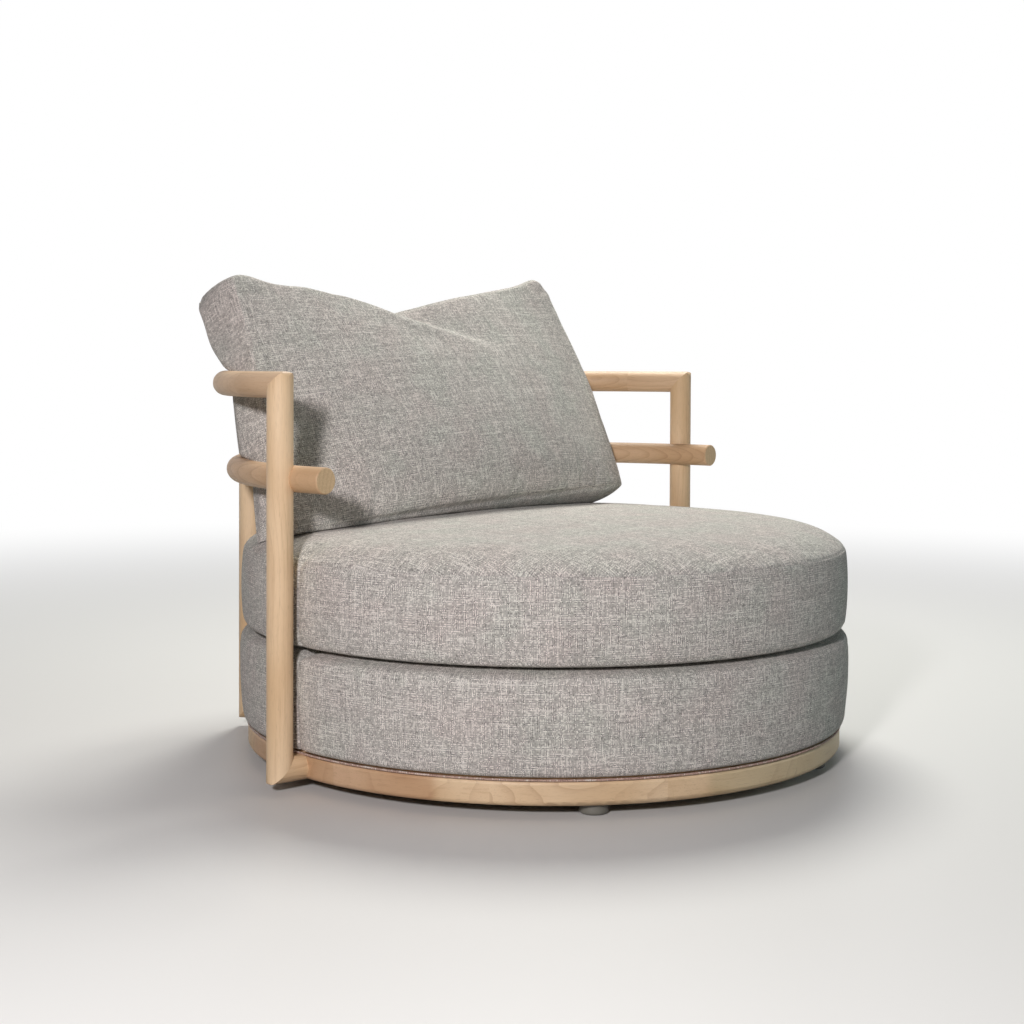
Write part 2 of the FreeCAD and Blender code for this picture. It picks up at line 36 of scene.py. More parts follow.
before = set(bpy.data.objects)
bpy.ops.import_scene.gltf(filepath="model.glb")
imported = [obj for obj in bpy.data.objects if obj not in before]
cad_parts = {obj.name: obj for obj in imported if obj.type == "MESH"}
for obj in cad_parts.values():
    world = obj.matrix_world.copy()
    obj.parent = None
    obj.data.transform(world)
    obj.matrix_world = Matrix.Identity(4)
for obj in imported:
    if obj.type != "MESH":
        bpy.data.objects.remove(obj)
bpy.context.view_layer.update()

MM = 0.001

# Camera, set to the photograph's angle
CAMERA_AT = (-2.385, -1.940, 0.670)
CAMERA_TURN_DEG = -50.14
CAMERA_TILT_DEG = 1.32
CAMERA_ROLL_DEG = 0.23
CAMERA_LENS_MM = 60.75
CAMERA_SHIFT_Y = -0.1032
CAMERA_SENSOR_MM = 36.0
CAMERA_CLIP_END = 60.0

# Places read from the frame
drum_low, drum_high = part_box("drum_cover")
seat_low, seat_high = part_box("seat_cushion_cover")
axis = Vector(((drum_low.x + drum_high.x) / 2, (drum_low.y + drum_high.y) / 2, 0))
drum_r = (drum_high.x - drum_low.x) / 2
drum_top = drum_high.z
drum_foot = drum_low.z
seat_r = (seat_high.x - seat_low.x) / 2
seat_foot = seat_low.z
seat_crown = seat_high.z


def node_centre(node):
    low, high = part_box(node)
    return (low + high) / 2


def rail_place(node):
    """A hoop's centreline radius, its height and its dowel's radius."""
    low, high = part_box(node)
    thick_r = (high.z - low.z) / 2
    reach = max(high.x - axis.x, axis.x - low.x)
    return reach - thick_r, (high.z + low.z) / 2, thick_r


lower_r, lower_z, dowel_r = rail_place("lower_rail_left")
post_names = ("front_left", "front_right", "rear_left", "rear_right")
posts = {name: node_centre(name + "_post") for name in post_names}
top_r = (Vector((posts["front_left"].x, posts["front_left"].y, 0)) - axis).length
top_z = node_centre("top_rail_back_left").z


def post_angle(name):
    offset = posts[name] - axis
    return math.atan2(offset.y, offset.x) % (2 * math.pi)


post_angles = sorted(post_angle(name) for name in posts)


# Shader graphs


class Graph:
    """The node tree of a material or world, with short calls for the nodes that the looks here use."""

    def __init__(self, owner):
        owner.use_nodes = True
        self.owner = owner
        self.nodes = owner.node_tree.nodes
        self.links = owner.node_tree.links

    def put(self, socket, value):
        if isinstance(value, bpy.types.NodeSocket):
            self.links.new(value, socket)
        elif value is not None:
            socket.default_value = value

    def new(self, kind, *values, **settings):
        """A new node with its settings, and with values for its inputs from the first on."""
        node = self.nodes.new("ShaderNode" + kind)
        for name, value in settings.items():
            setattr(node, name, value)
        for index, value in enumerate(values):
            self.put(node.inputs[index], value)
        return node

    def look(self, name, value):
        self.put(self.nodes["Principled BSDF"].inputs[name], value)

    def math(self, operation, a, b=None):
        return self.new("Math", a, b, operation=operation).outputs[0]

    def plus(self, a, b):
        return self.math("ADD", a, b)

    def minus(self, a, b):
        return self.math("SUBTRACT", a, b)

    def times(self, a, b):
        return self.math("MULTIPLY", a, b)

    def over(self, a, b):
        return self.math("DIVIDE", a, b)

    def length(self, x, y):
        return self.math("SQRT", self.plus(self.times(x, x), self.times(y, y)))

    def split(self, vector):
        return tuple(self.new("SeparateXYZ", vector).outputs)

    def join(self, x, y, z):
        return self.new("CombineXYZ", x, y, z).outputs[0]

    def scaled(self, vector, factors, offset=(0, 0, 0)):
        return self.new("VectorMath", vector, factors, offset, operation="MULTIPLY_ADD").outputs[0]

    def noise(self, vector, detail=2.0):
        node = self.new("TexNoise", vector)
        self.put(node.inputs["Scale"], 1.0)
        self.put(node.inputs["Detail"], detail)
        return node.outputs["Fac"]

    def marks(self, place, rate, detail=2.0, shift=(0, 0, 0)):
        """Noise that comes round at a rate of its own along each axis."""
        return self.noise(self.scaled(place, rate, shift), detail)

    def hash(self, vector):
        """An even random value, 0 to 1, for each whole-numbered place."""
        return self.new("TexWhiteNoise", vector).outputs["Value"]

    def spots(self, vector):
        node = self.new("TexVoronoi", vector)
        self.put(node.inputs["Scale"], 1.0)
        return node.outputs["Distance"], node.outputs["Color"]

    def band(self, value, low, high, out_low=0.0, out_high=1.0):
        """Maps value from low..high to out_low..out_high, held at the ends and smooth between."""
        values = (value, low, high, out_low, out_high)
        return self.new("MapRange", *values, interpolation_type="SMOOTHSTEP").outputs[0]

    def between(self, share, a, b):
        """The number a where share is 0 and b where it is 1."""
        return self.new("Mix", share, None, a, b).outputs[0]

    def mix(self, share, a, b, blend="MIX"):
        """The same for colours."""
        node = self.new("Mix", share, data_type="RGBA", blend_type=blend)
        self.put(node.inputs[6], a)
        self.put(node.inputs[7], b)
        return node.outputs[2]

    def bump(self, height, distance, strength):
        node = self.new("Bump", strength, distance)
        self.put(node.inputs["Height"], height)
        self.look("Normal", node.outputs[0])

    def object_place(self):
        return self.new("TexCoord").outputs["Object"]

    def from_axis(self, height):
        """Coordinates measured from the drum's axis at a height."""
        return self.split(self.scaled(self.object_place(), (1, 1, 1), (-axis.x, -axis.y, -height)))

    def seen(self):
        """1 where the picture shows the surface: straight, in a reflection or through glass."""
        path = self.new("LightPath").outputs
        seen = self.math("MAXIMUM", path["Is Camera Ray"], path["Is Glossy Ray"])
        return self.math("MAXIMUM", seen, path["Is Transmission Ray"])


def rgb(red, green, blue):
    """A colour given as it looks on screen, 0 to 255, turned into light."""
    def light(value):
        share = value / 255
        return share / 12.92 if share <= 0.04045 else ((share + 0.055) / 1.055) ** 2.4
    return (light(red), light(green), light(blue), 1.0)


# Wood


HOOP_RUN_OUT = 0.35


def hoop_lines(g, radius, height, middle_deg):
    """Coordinates across and along a bent rail, whose growth rings run out of it away from its middle."""
    x, y, z = g.from_axis(height)
    out = g.length(x, y)
    middle = math.radians(middle_deg)
    along_x = g.plus(g.times(x, math.cos(middle)), g.times(y, math.sin(middle)))
    along_y = g.minus(g.times(y, math.cos(middle)), g.times(x, math.sin(middle)))
    turn = g.math("ARCTAN2", along_y, along_x)
    rise = g.times(g.minus(1.0, g.math("COSINE", turn)), radius * HOOP_RUN_OUT)
    across = g.plus(g.minus(out, radius), rise)
    grain = g.join(g.over(g.times(y, -1.0), out), g.over(x, out), 0.0)
    return g.join(across, z, g.times(turn, radius)), grain


RING_BOARD_DEG = 30.0
RING_BOARD_SHIFT = 90 * MM
RING_BOARD_RUN = 0.71
NO_END_GRAIN = (0, 0, 1e-6)


def ring_lines(g, radius, height):
    """Coordinates in the straight boards that the ring under the drum is sawn from."""
    x, y, z = g.from_axis(height)
    out = g.length(x, y)
    turn = g.math("ARCTAN2", y, x)
    board = g.over(turn, math.radians(RING_BOARD_DEG))
    number = g.math("FLOOR", board)
    local = g.times(g.minus(g.math("FRACT", board), 0.5), math.radians(RING_BOARD_DEG))
    across = g.minus(g.times(out, g.math("COSINE", local)), radius)
    across = g.plus(across, g.times(g.math("FRACT", g.times(number, 0.37)), RING_BOARD_SHIFT))
    along = g.plus(g.times(out, g.math("SINE", local)), g.times(number, RING_BOARD_RUN))
    return g.join(across, z, along), NO_END_GRAIN


def post_lines(g, place):
    """Coordinates across and along an upright dowel."""
    return g.scaled(g.object_place(), (1, 1, 1), (-place.x, -place.y, 0)), (0, 0, 1)


def stub_lines(g, place, height):
    """The same for a level dowel that points at the drum's axis."""
    out = Vector((place.x - axis.x, place.y - axis.y, 0)).normalized()
    x, y, z = g.from_axis(height)
    along = g.plus(g.times(x, out.x), g.times(y, out.y))
    across = g.plus(g.times(x, -out.y), g.times(y, out.x))
    return g.join(across, z, along), tuple(out)


WOOD_LIGHT = rgb(238, 210, 173)
WOOD_MID = rgb(217, 184, 143)
WOOD_DARK = rgb(176, 136, 100)
WOOD_KNOT = rgb(100, 70, 50)
WOOD_END = rgb(226, 204, 160)
GROWTH_STEP = 7.5 * MM
GROWTH_SWAY = 40 * MM
GROWTH_RIPPLE = 2.0 * MM
# How often each mark of the wood comes round in a metre, across twice and then along the grain
SWAY_RATE = (6, 6, 3.0)
RIPPLE_RATE = (45, 45, 10)
WARM_RATE = (9, 9, 3.2)
FIGURE_RATE = (3, 3, 5)
STREAK_RATE = (230, 230, 7)
FIBRE_RATE = (1500, 1500, 50)
PORE_RATE = (1100, 1100, 70)
KNOT_RATE = (17, 17, 8)
RAY_RATE = (420, 420, 420)


def wood(name, lines, seed, tone=(1.0, 1.0, 1.0), glossy=0.48, boards=None, growth=0.52):
    """Pale oiled hardwood, drawn in the solid: growth rings, streaks, fibres, pores and pin knots."""
    g = Graph(bpy.data.materials.new(name))
    place, grain = lines(g)
    heart = (0.055 + seed * 0.37 % 0.05, 0.03 - seed * 0.23 % 0.06, seed * 1.31)
    moved = g.scaled(place, (1, 1, 1), heart)
    sway = g.marks(moved, SWAY_RATE)
    ripple = g.marks(moved, RIPPLE_RATE)
    u, v = g.split(moved)[:2]
    ring_r = g.length(u, v)
    ring_r = g.plus(ring_r, g.times(sway, GROWTH_SWAY))
    ring_r = g.plus(ring_r, g.times(ripple, GROWTH_RIPPLE))
    phase = g.math("FRACT", g.over(ring_r, GROWTH_STEP))
    late = g.math("POWER", phase, 4.0)
    late = g.times(late, g.band(phase, 1.0, 0.96))
    warm = g.marks(moved, WARM_RATE, 2.0, (2, 7, 4))
    colour = g.mix(g.band(warm, 0.36, 0.64), WOOD_LIGHT, WOOD_MID)
    figure = g.marks(moved, FIGURE_RATE, 1.0, (9, 1, 2))
    strength = g.band(figure, 0.38, 0.62, 0.2 * growth, growth)
    colour = g.mix(g.times(late, strength), colour, WOOD_DARK)
    streak = g.marks(moved, STREAK_RATE, 3.0)
    colour = g.mix(g.band(streak, 0.50, 0.80, 0.0, 0.26), colour, WOOD_DARK)
    fibre = g.marks(moved, FIBRE_RATE)
    colour = g.mix(g.band(fibre, 0.48, 0.74, 0.0, 0.12), colour, WOOD_DARK)
    pore = g.marks(moved, PORE_RATE, 0.0, (5, 3, 1))
    pores = g.band(pore, 0.66, 0.76)
    colour = g.mix(g.times(pores, 0.14), colour, WOOD_KNOT)
    far, tint = g.spots(g.scaled(moved, KNOT_RATE, (seed * 2.7, 0, 0)))
    chosen = g.band(g.split(tint)[0], 0.62, 0.66)
    knot = g.times(g.band(far, 0.075, 0.02), chosen)
    halo = g.times(g.band(far, 0.34, 0.03), chosen)
    colour = g.mix(g.times(halo, 0.42), colour, WOOD_DARK)
    colour = g.mix(g.times(knot, 0.78), colour, WOOD_KNOT)
    facing = g.new("VectorMath", g.new("NewGeometry").outputs["Normal"], grain, operation="DOT_PRODUCT")
    end = g.band(g.math("ABSOLUTE", facing.outputs["Value"]), 0.8, 0.97)
    rays = g.marks(moved, RAY_RATE)
    end_colour = g.mix(g.band(rays, 0.35, 0.65, 0.0, 0.25), WOOD_END, WOOD_DARK)
    end_colour = g.mix(g.times(late, 0.22), end_colour, WOOD_KNOT)
    colour = g.mix(g.times(end, 0.8), colour, end_colour)
    colour = g.mix(1.0, colour, tuple(tone) + (1.0,), "MULTIPLY")
    # Tones for the ring's boards; the board from 248 to 300 degrees carries painted shade and painted
    # greenish side light.
    if boards:
        colour = g.mix(1.0, colour, boards(g), "MULTIPLY")
    g.look("Base Color", colour)
    g.look("Roughness", g.band(fibre, 0.3, 0.7, glossy - 0.05, glossy + 0.1))
    g.look("Specular IOR Level", 0.4)
    height = g.minus(g.times(fibre, 0.35), pores)
    g.bump(height, 0.2 * MM, 0.45)
    return g.owner


# Cloth


CLOTH_DARK = rgb(124, 122, 119)
CLOTH_MID = rgb(178, 174, 169)
CLOTH_LIGHT = rgb(237, 232, 225)
CLOTH_SLUB = rgb(240, 236, 229)
CLOTH_GREEN = (0.94, 1.0, 0.975, 1)
CLOTH_PINK = (1.0, 0.945, 0.955, 1)
PIPING_DARK = rgb(128, 104, 96)
PIPING_MID = rgb(176, 146, 134)
PIPING_LIGHT = rgb(204, 176, 162)
YARN = 1.7 * MM
YARN_WANDER = 0.7
SLUB_MIX = 0.7
# How far each change of a yarn's tone runs along it
SHORT_RUN = 8 * MM
LONG_RUN = 40 * MM
PALE_RUN = 7 * MM
SLUB_RUN = 32 * MM


def cloth(name, seed, dark=CLOTH_DARK, mid=CLOTH_MID, light=CLOTH_LIGHT):
    """A heathered linen weave, laid out in metres: each yarn has its own tone and its own thick places."""
    g = Graph(bpy.data.materials.new(name))
    weave = g.new("UVMap", uv_map="weave").outputs[0]
    lay = g.scaled(weave, (1, 1, 0), (seed * 0.731, seed * 0.419, 0))
    u, v = g.split(lay)[:2]
    wander_u = g.marks(lay, (90, 14, 1), 1.0, (3, 8, seed))
    wander_v = g.marks(lay, (14, 90, 1), 1.0, (6, 2, seed))
    grid_u = g.plus(g.over(u, YARN), g.times(wander_u, YARN_WANDER))
    grid_v = g.plus(g.over(v, YARN), g.times(wander_v, YARN_WANDER))
    cell_u = g.math("FLOOR", grid_u)
    cell_v = g.math("FLOOR", grid_v)
    part_u = g.math("FRACT", grid_u)
    part_v = g.math("FRACT", grid_v)
    odd = g.math("FRACT", g.times(g.plus(cell_u, cell_v), 0.5))
    warp_over = g.math("GREATER_THAN", odd, 0.25)
    patches = g.marks(lay, (42, 42, 1), 1.0, (1, 4, seed))
    turned = g.math("GREATER_THAN", patches, 0.5)

    def yarn(cell, along, shift, swapped):
        """Tone of a yarn along its length, and where it is thick. Swapped turns a pair of yarns over."""
        own = g.hash(g.join(cell, shift, seed))
        turn = g.times(cell, 7.31)
        short = g.noise(g.join(turn, g.over(along, SHORT_RUN), shift), 0.0)
        long = g.noise(g.join(turn, g.over(along, LONG_RUN), shift + 3), 0.0)
        tone = g.plus(g.times(own, 0.20), g.times(short, 0.16))
        tone = g.plus(tone, g.times(long, 0.34))
        half = g.plus(g.times(cell, 0.5), g.times(swapped, 0.5))
        pair = g.math("FLOOR", half)
        pale = g.math("GREATER_THAN", g.math("FRACT", half), 0.25)
        strong = g.noise(g.join(g.times(pair, 5.17), g.over(along, PALE_RUN), shift + 9), 0.0)
        strong = g.band(strong, 0.32, 0.66)
        tone = g.plus(tone, g.times(g.times(pale, strong), 0.34))
        thick = g.noise(g.join(g.times(cell, 3.77), g.over(along, SLUB_RUN), shift + 6), 0.0)
        return tone, g.band(thick, 0.65, 0.71)

    warp, warp_thick = yarn(cell_u, v, 1.0, 0.0)
    weft, weft_thick = yarn(cell_v, u, 5.0, turned)
    tone = g.between(warp_over, weft, warp)
    speck = g.hash(g.join(cell_u, cell_v, seed))
    tone = g.plus(g.times(tone, 0.68), g.times(speck, 0.36))
    colour = g.mix(g.band(tone, 0.16, 0.40), dark, mid)
    colour = g.mix(g.band(tone, 0.46, 0.74), colour, light)
    warp_thick = g.times(warp_thick, g.band(warp_over, 0, 1, 0.3, 1.0))
    weft_thick = g.times(weft_thick, g.band(warp_over, 0, 1, 1.0, 0.3))
    thick = g.math("MAXIMUM", warp_thick, weft_thick)
    colour = g.mix(g.times(thick, SLUB_MIX), colour, CLOTH_SLUB)
    drift = g.marks(lay, (11, 11, 1))
    colour = g.mix(g.band(drift, 0.35, 0.5, 0.5, 0.0), colour, CLOTH_GREEN, "MULTIPLY")
    colour = g.mix(g.band(drift, 0.5, 0.65, 0.0, 0.5), colour, CLOTH_PINK, "MULTIPLY")
    g.look("Base Color", colour)
    g.look("Roughness", 0.93)
    g.look("Specular IOR Level", 0.15)
    g.look("Sheen Weight", 0.08)

    def crown(part):
        """How high a round yarn stands at a share of its width."""
        centred = g.minus(g.times(part, 2.0), 1.0)
        return g.minus(1.0, g.times(centred, centred))

    round_u = crown(part_u)
    round_v = crown(part_v)
    warp_h = g.times(round_u, g.plus(g.times(round_v, 0.6), 0.4))
    weft_h = g.times(round_v, g.plus(g.times(round_u, 0.6), 0.4))
    height = g.plus(g.between(warp_over, weft_h, warp_h), g.times(thick, 0.8))
    g.bump(height, 0.35 * MM, 0.5)
    return g.owner


def plain(name, colour, roughness, grain_size, metallic=0.0):
    """A quiet material for small or hidden pieces: fine speckle in colour, roughness and surface."""
    g = Graph(bpy.data.materials.new(name))
    fine = g.marks(g.object_place(), (1 / grain_size,) * 3, 3.0)
    shade = tuple(channel * 0.8 for channel in colour[:3]) + (1.0,)
    g.look("Base Color", g.mix(fine, shade, colour))
    g.look("Roughness", g.band(fine, 0.3, 0.7, roughness - 0.08, roughness + 0.08))
    g.look("Metallic", metallic)
    g.bump(fine, 0.1 * MM, 0.4)
    return g.owner


def dress(node, material):
    """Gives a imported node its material."""
    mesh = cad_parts[node].data
    mesh.materials.clear()
    mesh.materials.append(material)


RAIL_TONE = (0.86, 0.81, 0.80)
POST_TONE = (1.0, 1.0, 1.0)
RING_TONE = (0.91, 0.90, 0.90)
POST_GROWTH = 0.22
# The ring's boards: the angles in degrees that each lies between, and its tone. The last board's darker,
# greener tone is partly its own and partly painted shade and painted greenish side light.
RING_BOARD_TONES_AND_SHADE = (
    (150, 201, (0.82, 0.74, 0.72)),
    (201, 248, (1.06, 1.10, 1.14)),
    (248, 300, (0.84, 0.90, 0.88)),
)


def ring_board_tones_and_shade(g):
    """A tone for each board of the ring, with narrow soft joints. The board from 248 to 300 degrees is
    darker and greener partly as painted shade and painted greenish side light.
    """
    soft = 1.5
    x, y = g.from_axis(0)[:2]
    turn = g.math("ARCTAN2", g.times(y, -1.0), g.times(x, -1.0))
    turn = g.plus(g.times(turn, 180 / math.pi), 180.0)
    colour = (1, 1, 1, 1)
    for low, high, tone in RING_BOARD_TONES_AND_SHADE:
        after = g.band(turn, low - soft, low + soft)
        before = g.band(turn, high + soft, high - soft)
        within = g.times(after, before)
        colour = g.mix(within, colour, tuple(tone) + (1.0,))
    return colour


# Each rail's node, its middle angle in degrees and its wood's seed
RAILS = (
    ("top_rail_front_right", 14.0, 1.3),
    ("top_rail_back_right", 55.0, 2.3),
    ("top_rail_back_left", 125.0, 3.3),
    ("top_rail_front_left", 166.0, 4.3),
    ("lower_rail_right", 45.0, 7.1),
    ("lower_rail_left", 135.0, 8.1),
)


def upright_lines(g):
    """Coordinates for wood whose place in its board doesn't matter."""
    return g.object_place(), (0, 0, 1)


def dress_wood():
    """Gives each length of wood its own figure."""
    for node, middle, seed in RAILS:
        radius, height = (top_r, top_z) if node.startswith("top") else (lower_r, lower_z)
        lines = functools.partial(hoop_lines, radius=radius, height=height, middle_deg=middle)
        dress(node, wood("wood_" + node, lines, seed, RAIL_TONE))
    for index, name in enumerate(posts):
        place = posts[name]
        lines = functools.partial(post_lines, place=place)
        post_wood = wood("wood_" + name, lines, index + 11.7, POST_TONE, growth=POST_GROWTH)
        dress(name + "_post", post_wood)
        lines = functools.partial(stub_lines, place=place, height=node_centre(name + "_stub").z)
        dress(name + "_stub", wood("wood_stub_" + name, lines, index + 17.9))
    lines = functools.partial(ring_lines, radius=drum_r, height=node_centre("plinth_ring_front").z)
    ring_wood = wood("wood_ring", lines, 23.3, RING_TONE, boards=ring_board_tones_and_shade)
    for side in ("right", "back", "left", "front"):
        dress("plinth_ring_" + side, ring_wood)
    pins = wood("wood_pins", upright_lines, 31.0)
    for node in ("rail_joint_pins", "mitre_pins", "rear_post_pins", "lap_pins"):
        dress(node, pins)


def dress_base():
    """Gives the boards inside the drum, the glides and the metal their materials."""
    board = wood("wood_board", upright_lines, 41.0, glossy=0.7)
    for node in ["base_board", "deck_board", "side_panel"] + ["upright_%d" % n for n in range(1, 9)]:
        dress(node, board)
    glide = plain("glide_plastic", rgb(118, 116, 108), 0.5, 2 * MM)
    for number in range(1, 7):
        dress("glide_%d" % number, glide)
    steel = plain("zinc_steel", rgb(190, 190, 186), 0.35, 1.5 * MM, 1.0)
    for node in ("stub_bolts", "plinth_screws", "glide_screws"):
        dress(node, steel)
    dress("dust_cover", plain("dust_cloth", rgb(38, 38, 40), 0.9, 1.2 * MM))


# Soft pieces


def turn_outward(mesh):
    """Makes every face look away from the inside."""
    work = bmesh.new()
    work.from_mesh(mesh)
    bmesh.ops.recalc_face_normals(work, faces=work.faces)
    if work.calc_volume(signed=True) < 0:
        bmesh.ops.reverse_faces(work, faces=work.faces)
    work.to_mesh(mesh)
    work.free()


SEWN_GAP = 0.02 * MM


class Patchwork:
    """Grids of points sewn into one closed mesh, with a lay of the weave for every corner."""

    def __init__(self):
        self.points = []
        self.faces = []
        self.lays = []
        self.facts = []
        self.count = 0

    def add(self, points, lay, facts, flip=False):
        """points is rows x columns x 3, lay rows x columns x 2, facts rows x columns x any number."""
        rows, columns = points.shape[:2]
        index = np.arange(rows * columns).reshape(rows, columns) + self.count
        corners = np.stack([index[:-1, :-1], index[:-1, 1:], index[1:, 1:], index[1:, :-1]], -1)
        corners = corners.reshape(-1, 4)
        if flip:
            corners = corners[:, ::-1]
        self.points.append(points.reshape(-1, 3))
        self.facts.append(facts.reshape(rows * columns, -1))
        self.faces.append(corners)
        self.lays.append(lay.reshape(-1, 2)[corners - self.count])
        self.count += rows * columns

    def add_plain(self, points):
        """Adds a level part without a seam."""
        self.add(points, points[..., :2], np.ones(points.shape[:2] + (1,)))

    def sewn(self, name, material):
        """The mesh object, with points that coincide made one, and the facts of each point."""
        points = np.concatenate(self.points)
        facts = np.concatenate(self.facts)
        faces = np.concatenate(self.faces)
        lays = np.concatenate(self.lays)
        key = np.round(points / SEWN_GAP).astype(np.int64)
        first, inverse = np.unique(key, axis=0, return_index=True, return_inverse=True)[1:]
        faces = inverse.reshape(-1)[faces]
        whole = np.array([len(set(face)) == 4 for face in faces.tolist()])
        faces = faces[whole]
        lays = lays[whole]
        mesh = bpy.data.meshes.new(name)
        mesh.from_pydata(points[first].tolist(), [], faces.tolist())
        layer = mesh.uv_layers.new(name="weave")
        layer.data.foreach_set("uv", lays.reshape(-1).astype(np.float32))
        mesh.polygons.foreach_set("use_smooth", np.ones(len(mesh.polygons), dtype=bool))
        mesh.materials.append(material)
        turn_outward(mesh)
        obj = bpy.data.objects.new(name, mesh)
        bpy.context.scene.collection.objects.link(obj)
        return obj, facts[first]


def rows_of(items, name):
    """One row of three numbers for each item of a mesh."""
    flat = np.empty(len(items) * 3, dtype=np.float32)
    items.foreach_get(name, flat)
    return flat.reshape(-1, 3).astype(float)


def coords(obj):
    """Each point's place."""
    return rows_of(obj.data.vertices, "co")


def set_coords(obj, points):
    """Moves each point to its new place."""
    obj.data.vertices.foreach_set("co", points.reshape(-1).astype(np.float32))
    obj.data.update()


def normals(obj):
    """The way each point faces."""
    return rows_of(obj.data.vertex_normals, "vector")


def weigh(obj, name, weights, least):
    """Puts the points whose weight is over the least into a new group."""
    group = obj.vertex_groups.new(name=name)
    for index, weight in enumerate(weights):
        if weight > least:
            group.add([index], float(weight), "REPLACE")


def evaluated_mesh(obj):
    """The object's mesh with its modifiers, as a new mesh."""
    return bpy.data.meshes.new_from_object(obj.evaluated_get(bpy.context.evaluated_depsgraph_get()))


def apply_modifiers(obj):
    """Turns the object's modifiers into shape."""
    bpy.context.view_layer.update()
    mesh = evaluated_mesh(obj)
    old = obj.data
    obj.modifiers.clear()
    obj.data = mesh
    bpy.data.meshes.remove(old)
    mesh.name = obj.name


CLOTH_FRAMES = 8
CLOTH_QUALITY = 3
CLOTH_STIFFNESS = 15.0
CLOTH_BENDING = 0.5


def inflate(obj, held, pressure, reach):
    """Blows the closed cloth up a little, with held saying how firmly each point stays, 0 to 1."""
    start = coords(obj)
    weigh(obj, "held", held, 0)
    modifier = obj.modifiers.new("Cloth", "CLOTH")
    settings = modifier.settings
    settings.vertex_group_mass = "held"
    settings.use_pressure = True
    settings.uniform_pressure_force = pressure
    settings.effector_weights.gravity = 0
    settings.tension_stiffness = CLOTH_STIFFNESS
    settings.compression_stiffness = CLOTH_STIFFNESS
    settings.bending_stiffness = CLOTH_BENDING
    settings.quality = CLOTH_QUALITY
    modifier.collision_settings.use_collision = False
    scene = bpy.context.scene
    modifier.point_cache.frame_start = 1
    modifier.point_cache.frame_end = CLOTH_FRAMES
    for number in range(1, CLOTH_FRAMES + 1):
        scene.frame_set(number)
    moved = evaluated_mesh(obj)
    step = rows_of(moved.vertices, "co") - start
    bpy.data.meshes.remove(moved)
    obj.modifiers.clear()
    scene.frame_set(1)
    length = np.linalg.norm(step, axis=1, keepdims=True)
    limit = reach * np.tanh(length / reach) / np.maximum(length, 1e-9)
    set_coords(obj, start + step * limit)
    obj.vertex_groups.clear()


LEAST_WEIGHT = 0.01
ROUND_LEVELS = 1


def finish_soft(obj, seam_gap, groove, width):
    """Rounds the mesh off and draws the seams in, where seam_gap is each point's way to a seam."""
    weigh(obj, "seam", hill(seam_gap, width), LEAST_WEIGHT)
    smooth = obj.modifiers.new("Round", "SUBSURF")
    smooth.levels = ROUND_LEVELS
    smooth.render_levels = ROUND_LEVELS
    draw_in = obj.modifiers.new("Seam", "DISPLACE")
    draw_in.strength = -groove
    draw_in.mid_level = 0.0
    draw_in.direction = "NORMAL"
    draw_in.vertex_group = "seam"
    apply_modifiers(obj)
    obj.vertex_groups.clear()


def grid(rows, columns):
    return np.meshgrid(rows, columns, indexing="ij")


def clip(value):
    return np.clip(value, 0, 1)


def hill(value, width):
    """A bell curve, 1 at 0."""
    return np.exp(-(value / width) ** 2)


def wave(points, size, seed):
    """Smooth noise, -1 to 1, at each row of points."""
    shift = Vector((seed, seed * 1.7, seed * 0.3))
    return np.array([noise.noise(Vector(p) / size + shift) for p in points.tolist()])


def steps(*stops):
    """Evenly spaced values through stops, given as (start, end, count) in a row."""
    values = [np.array([stops[0][0]])]
    for start, end, count in stops:
        values.append(np.linspace(start, end, count + 1)[1:])
    return np.concatenate(values)


def edged(start, end, edge, by_edge, near, count):
    """Values from start to end, closer together by both ends."""
    return steps((start, start + edge, 1), (start + edge, start + by_edge, near),
                 (start + by_edge, end - by_edge, count),
                 (end - by_edge, end - edge, near), (end - edge, end, 1))


# Angles round the drum, closer together at the folds behind the posts
ROUND_COUNT = 480
FOLD_SPREAD = 26 * MM
FOLD_DENSITY = 4.0


def gap_to(turn, angle):
    """How far apart two directions are along the drum's side."""
    return np.abs((turn - angle + math.pi) % (2 * math.pi) - math.pi) * drum_r


def round_angles():
    fine = np.linspace(0, 2 * math.pi, 20001)
    density = np.ones_like(fine)
    for angle in post_angles:
        density += FOLD_DENSITY * hill(gap_to(fine, angle), FOLD_SPREAD)
    reach = np.concatenate([[0], np.cumsum((density[1:] + density[:-1]) / 2)])
    return np.interp(np.linspace(0, reach[-1], ROUND_COUNT + 1), reach, fine)


angles = round_angles()


def fold_gap(turn):
    """How far, along the drum's side, an angle is from the nearest post's fold."""
    return np.minimum.reduce([gap_to(turn, angle) for angle in post_angles])


AXIS_XY = np.array([axis.x, axis.y])


def about_axis(points):
    """Each point's distance from the drum's axis, and the level direction out to it."""
    out = points[:, :2] - AXIS_XY
    radius = np.linalg.norm(out, axis=1)
    return radius, out / np.maximum(radius, 1e-6)[:, None]


def turned_points(radius, turn, z):
    """Points about the drum's axis from arrays of radius, angle and height."""
    return np.stack([axis.x + radius * np.cos(turn), axis.y + radius * np.sin(turn), z], -1)


def ring_at(radius, z):
    """A ring of points at the round angles."""
    return turned_points(np.full(len(angles), radius), angles, np.full(len(angles), z))


def disc_points(rim_r, z_of):
    """A disc of even cells whose rim has the round angles, with its height from z_of(radius)."""
    cells = ROUND_COUNT // 4
    line = np.linspace(-1, 1, cells + 1)
    a, b = np.meshgrid(line, line)
    size = np.maximum(np.abs(a), np.abs(b))
    safe = np.maximum(size, 1e-9)
    on_x = np.abs(a) >= np.abs(b)
    ratio = np.where(on_x, b / safe * np.sign(a), a / safe * -np.sign(b))
    side = np.where(on_x, np.where(a > 0, 0, 2), np.where(b > 0, 1, 3))
    index = (side * cells + (ratio + 1) / 2 * cells - cells / 2) % ROUND_COUNT
    turn = np.interp(index, np.arange(ROUND_COUNT + 1), angles)
    radius = size * rim_r
    return turned_points(radius, turn, z_of(radius)), radius


# Drum


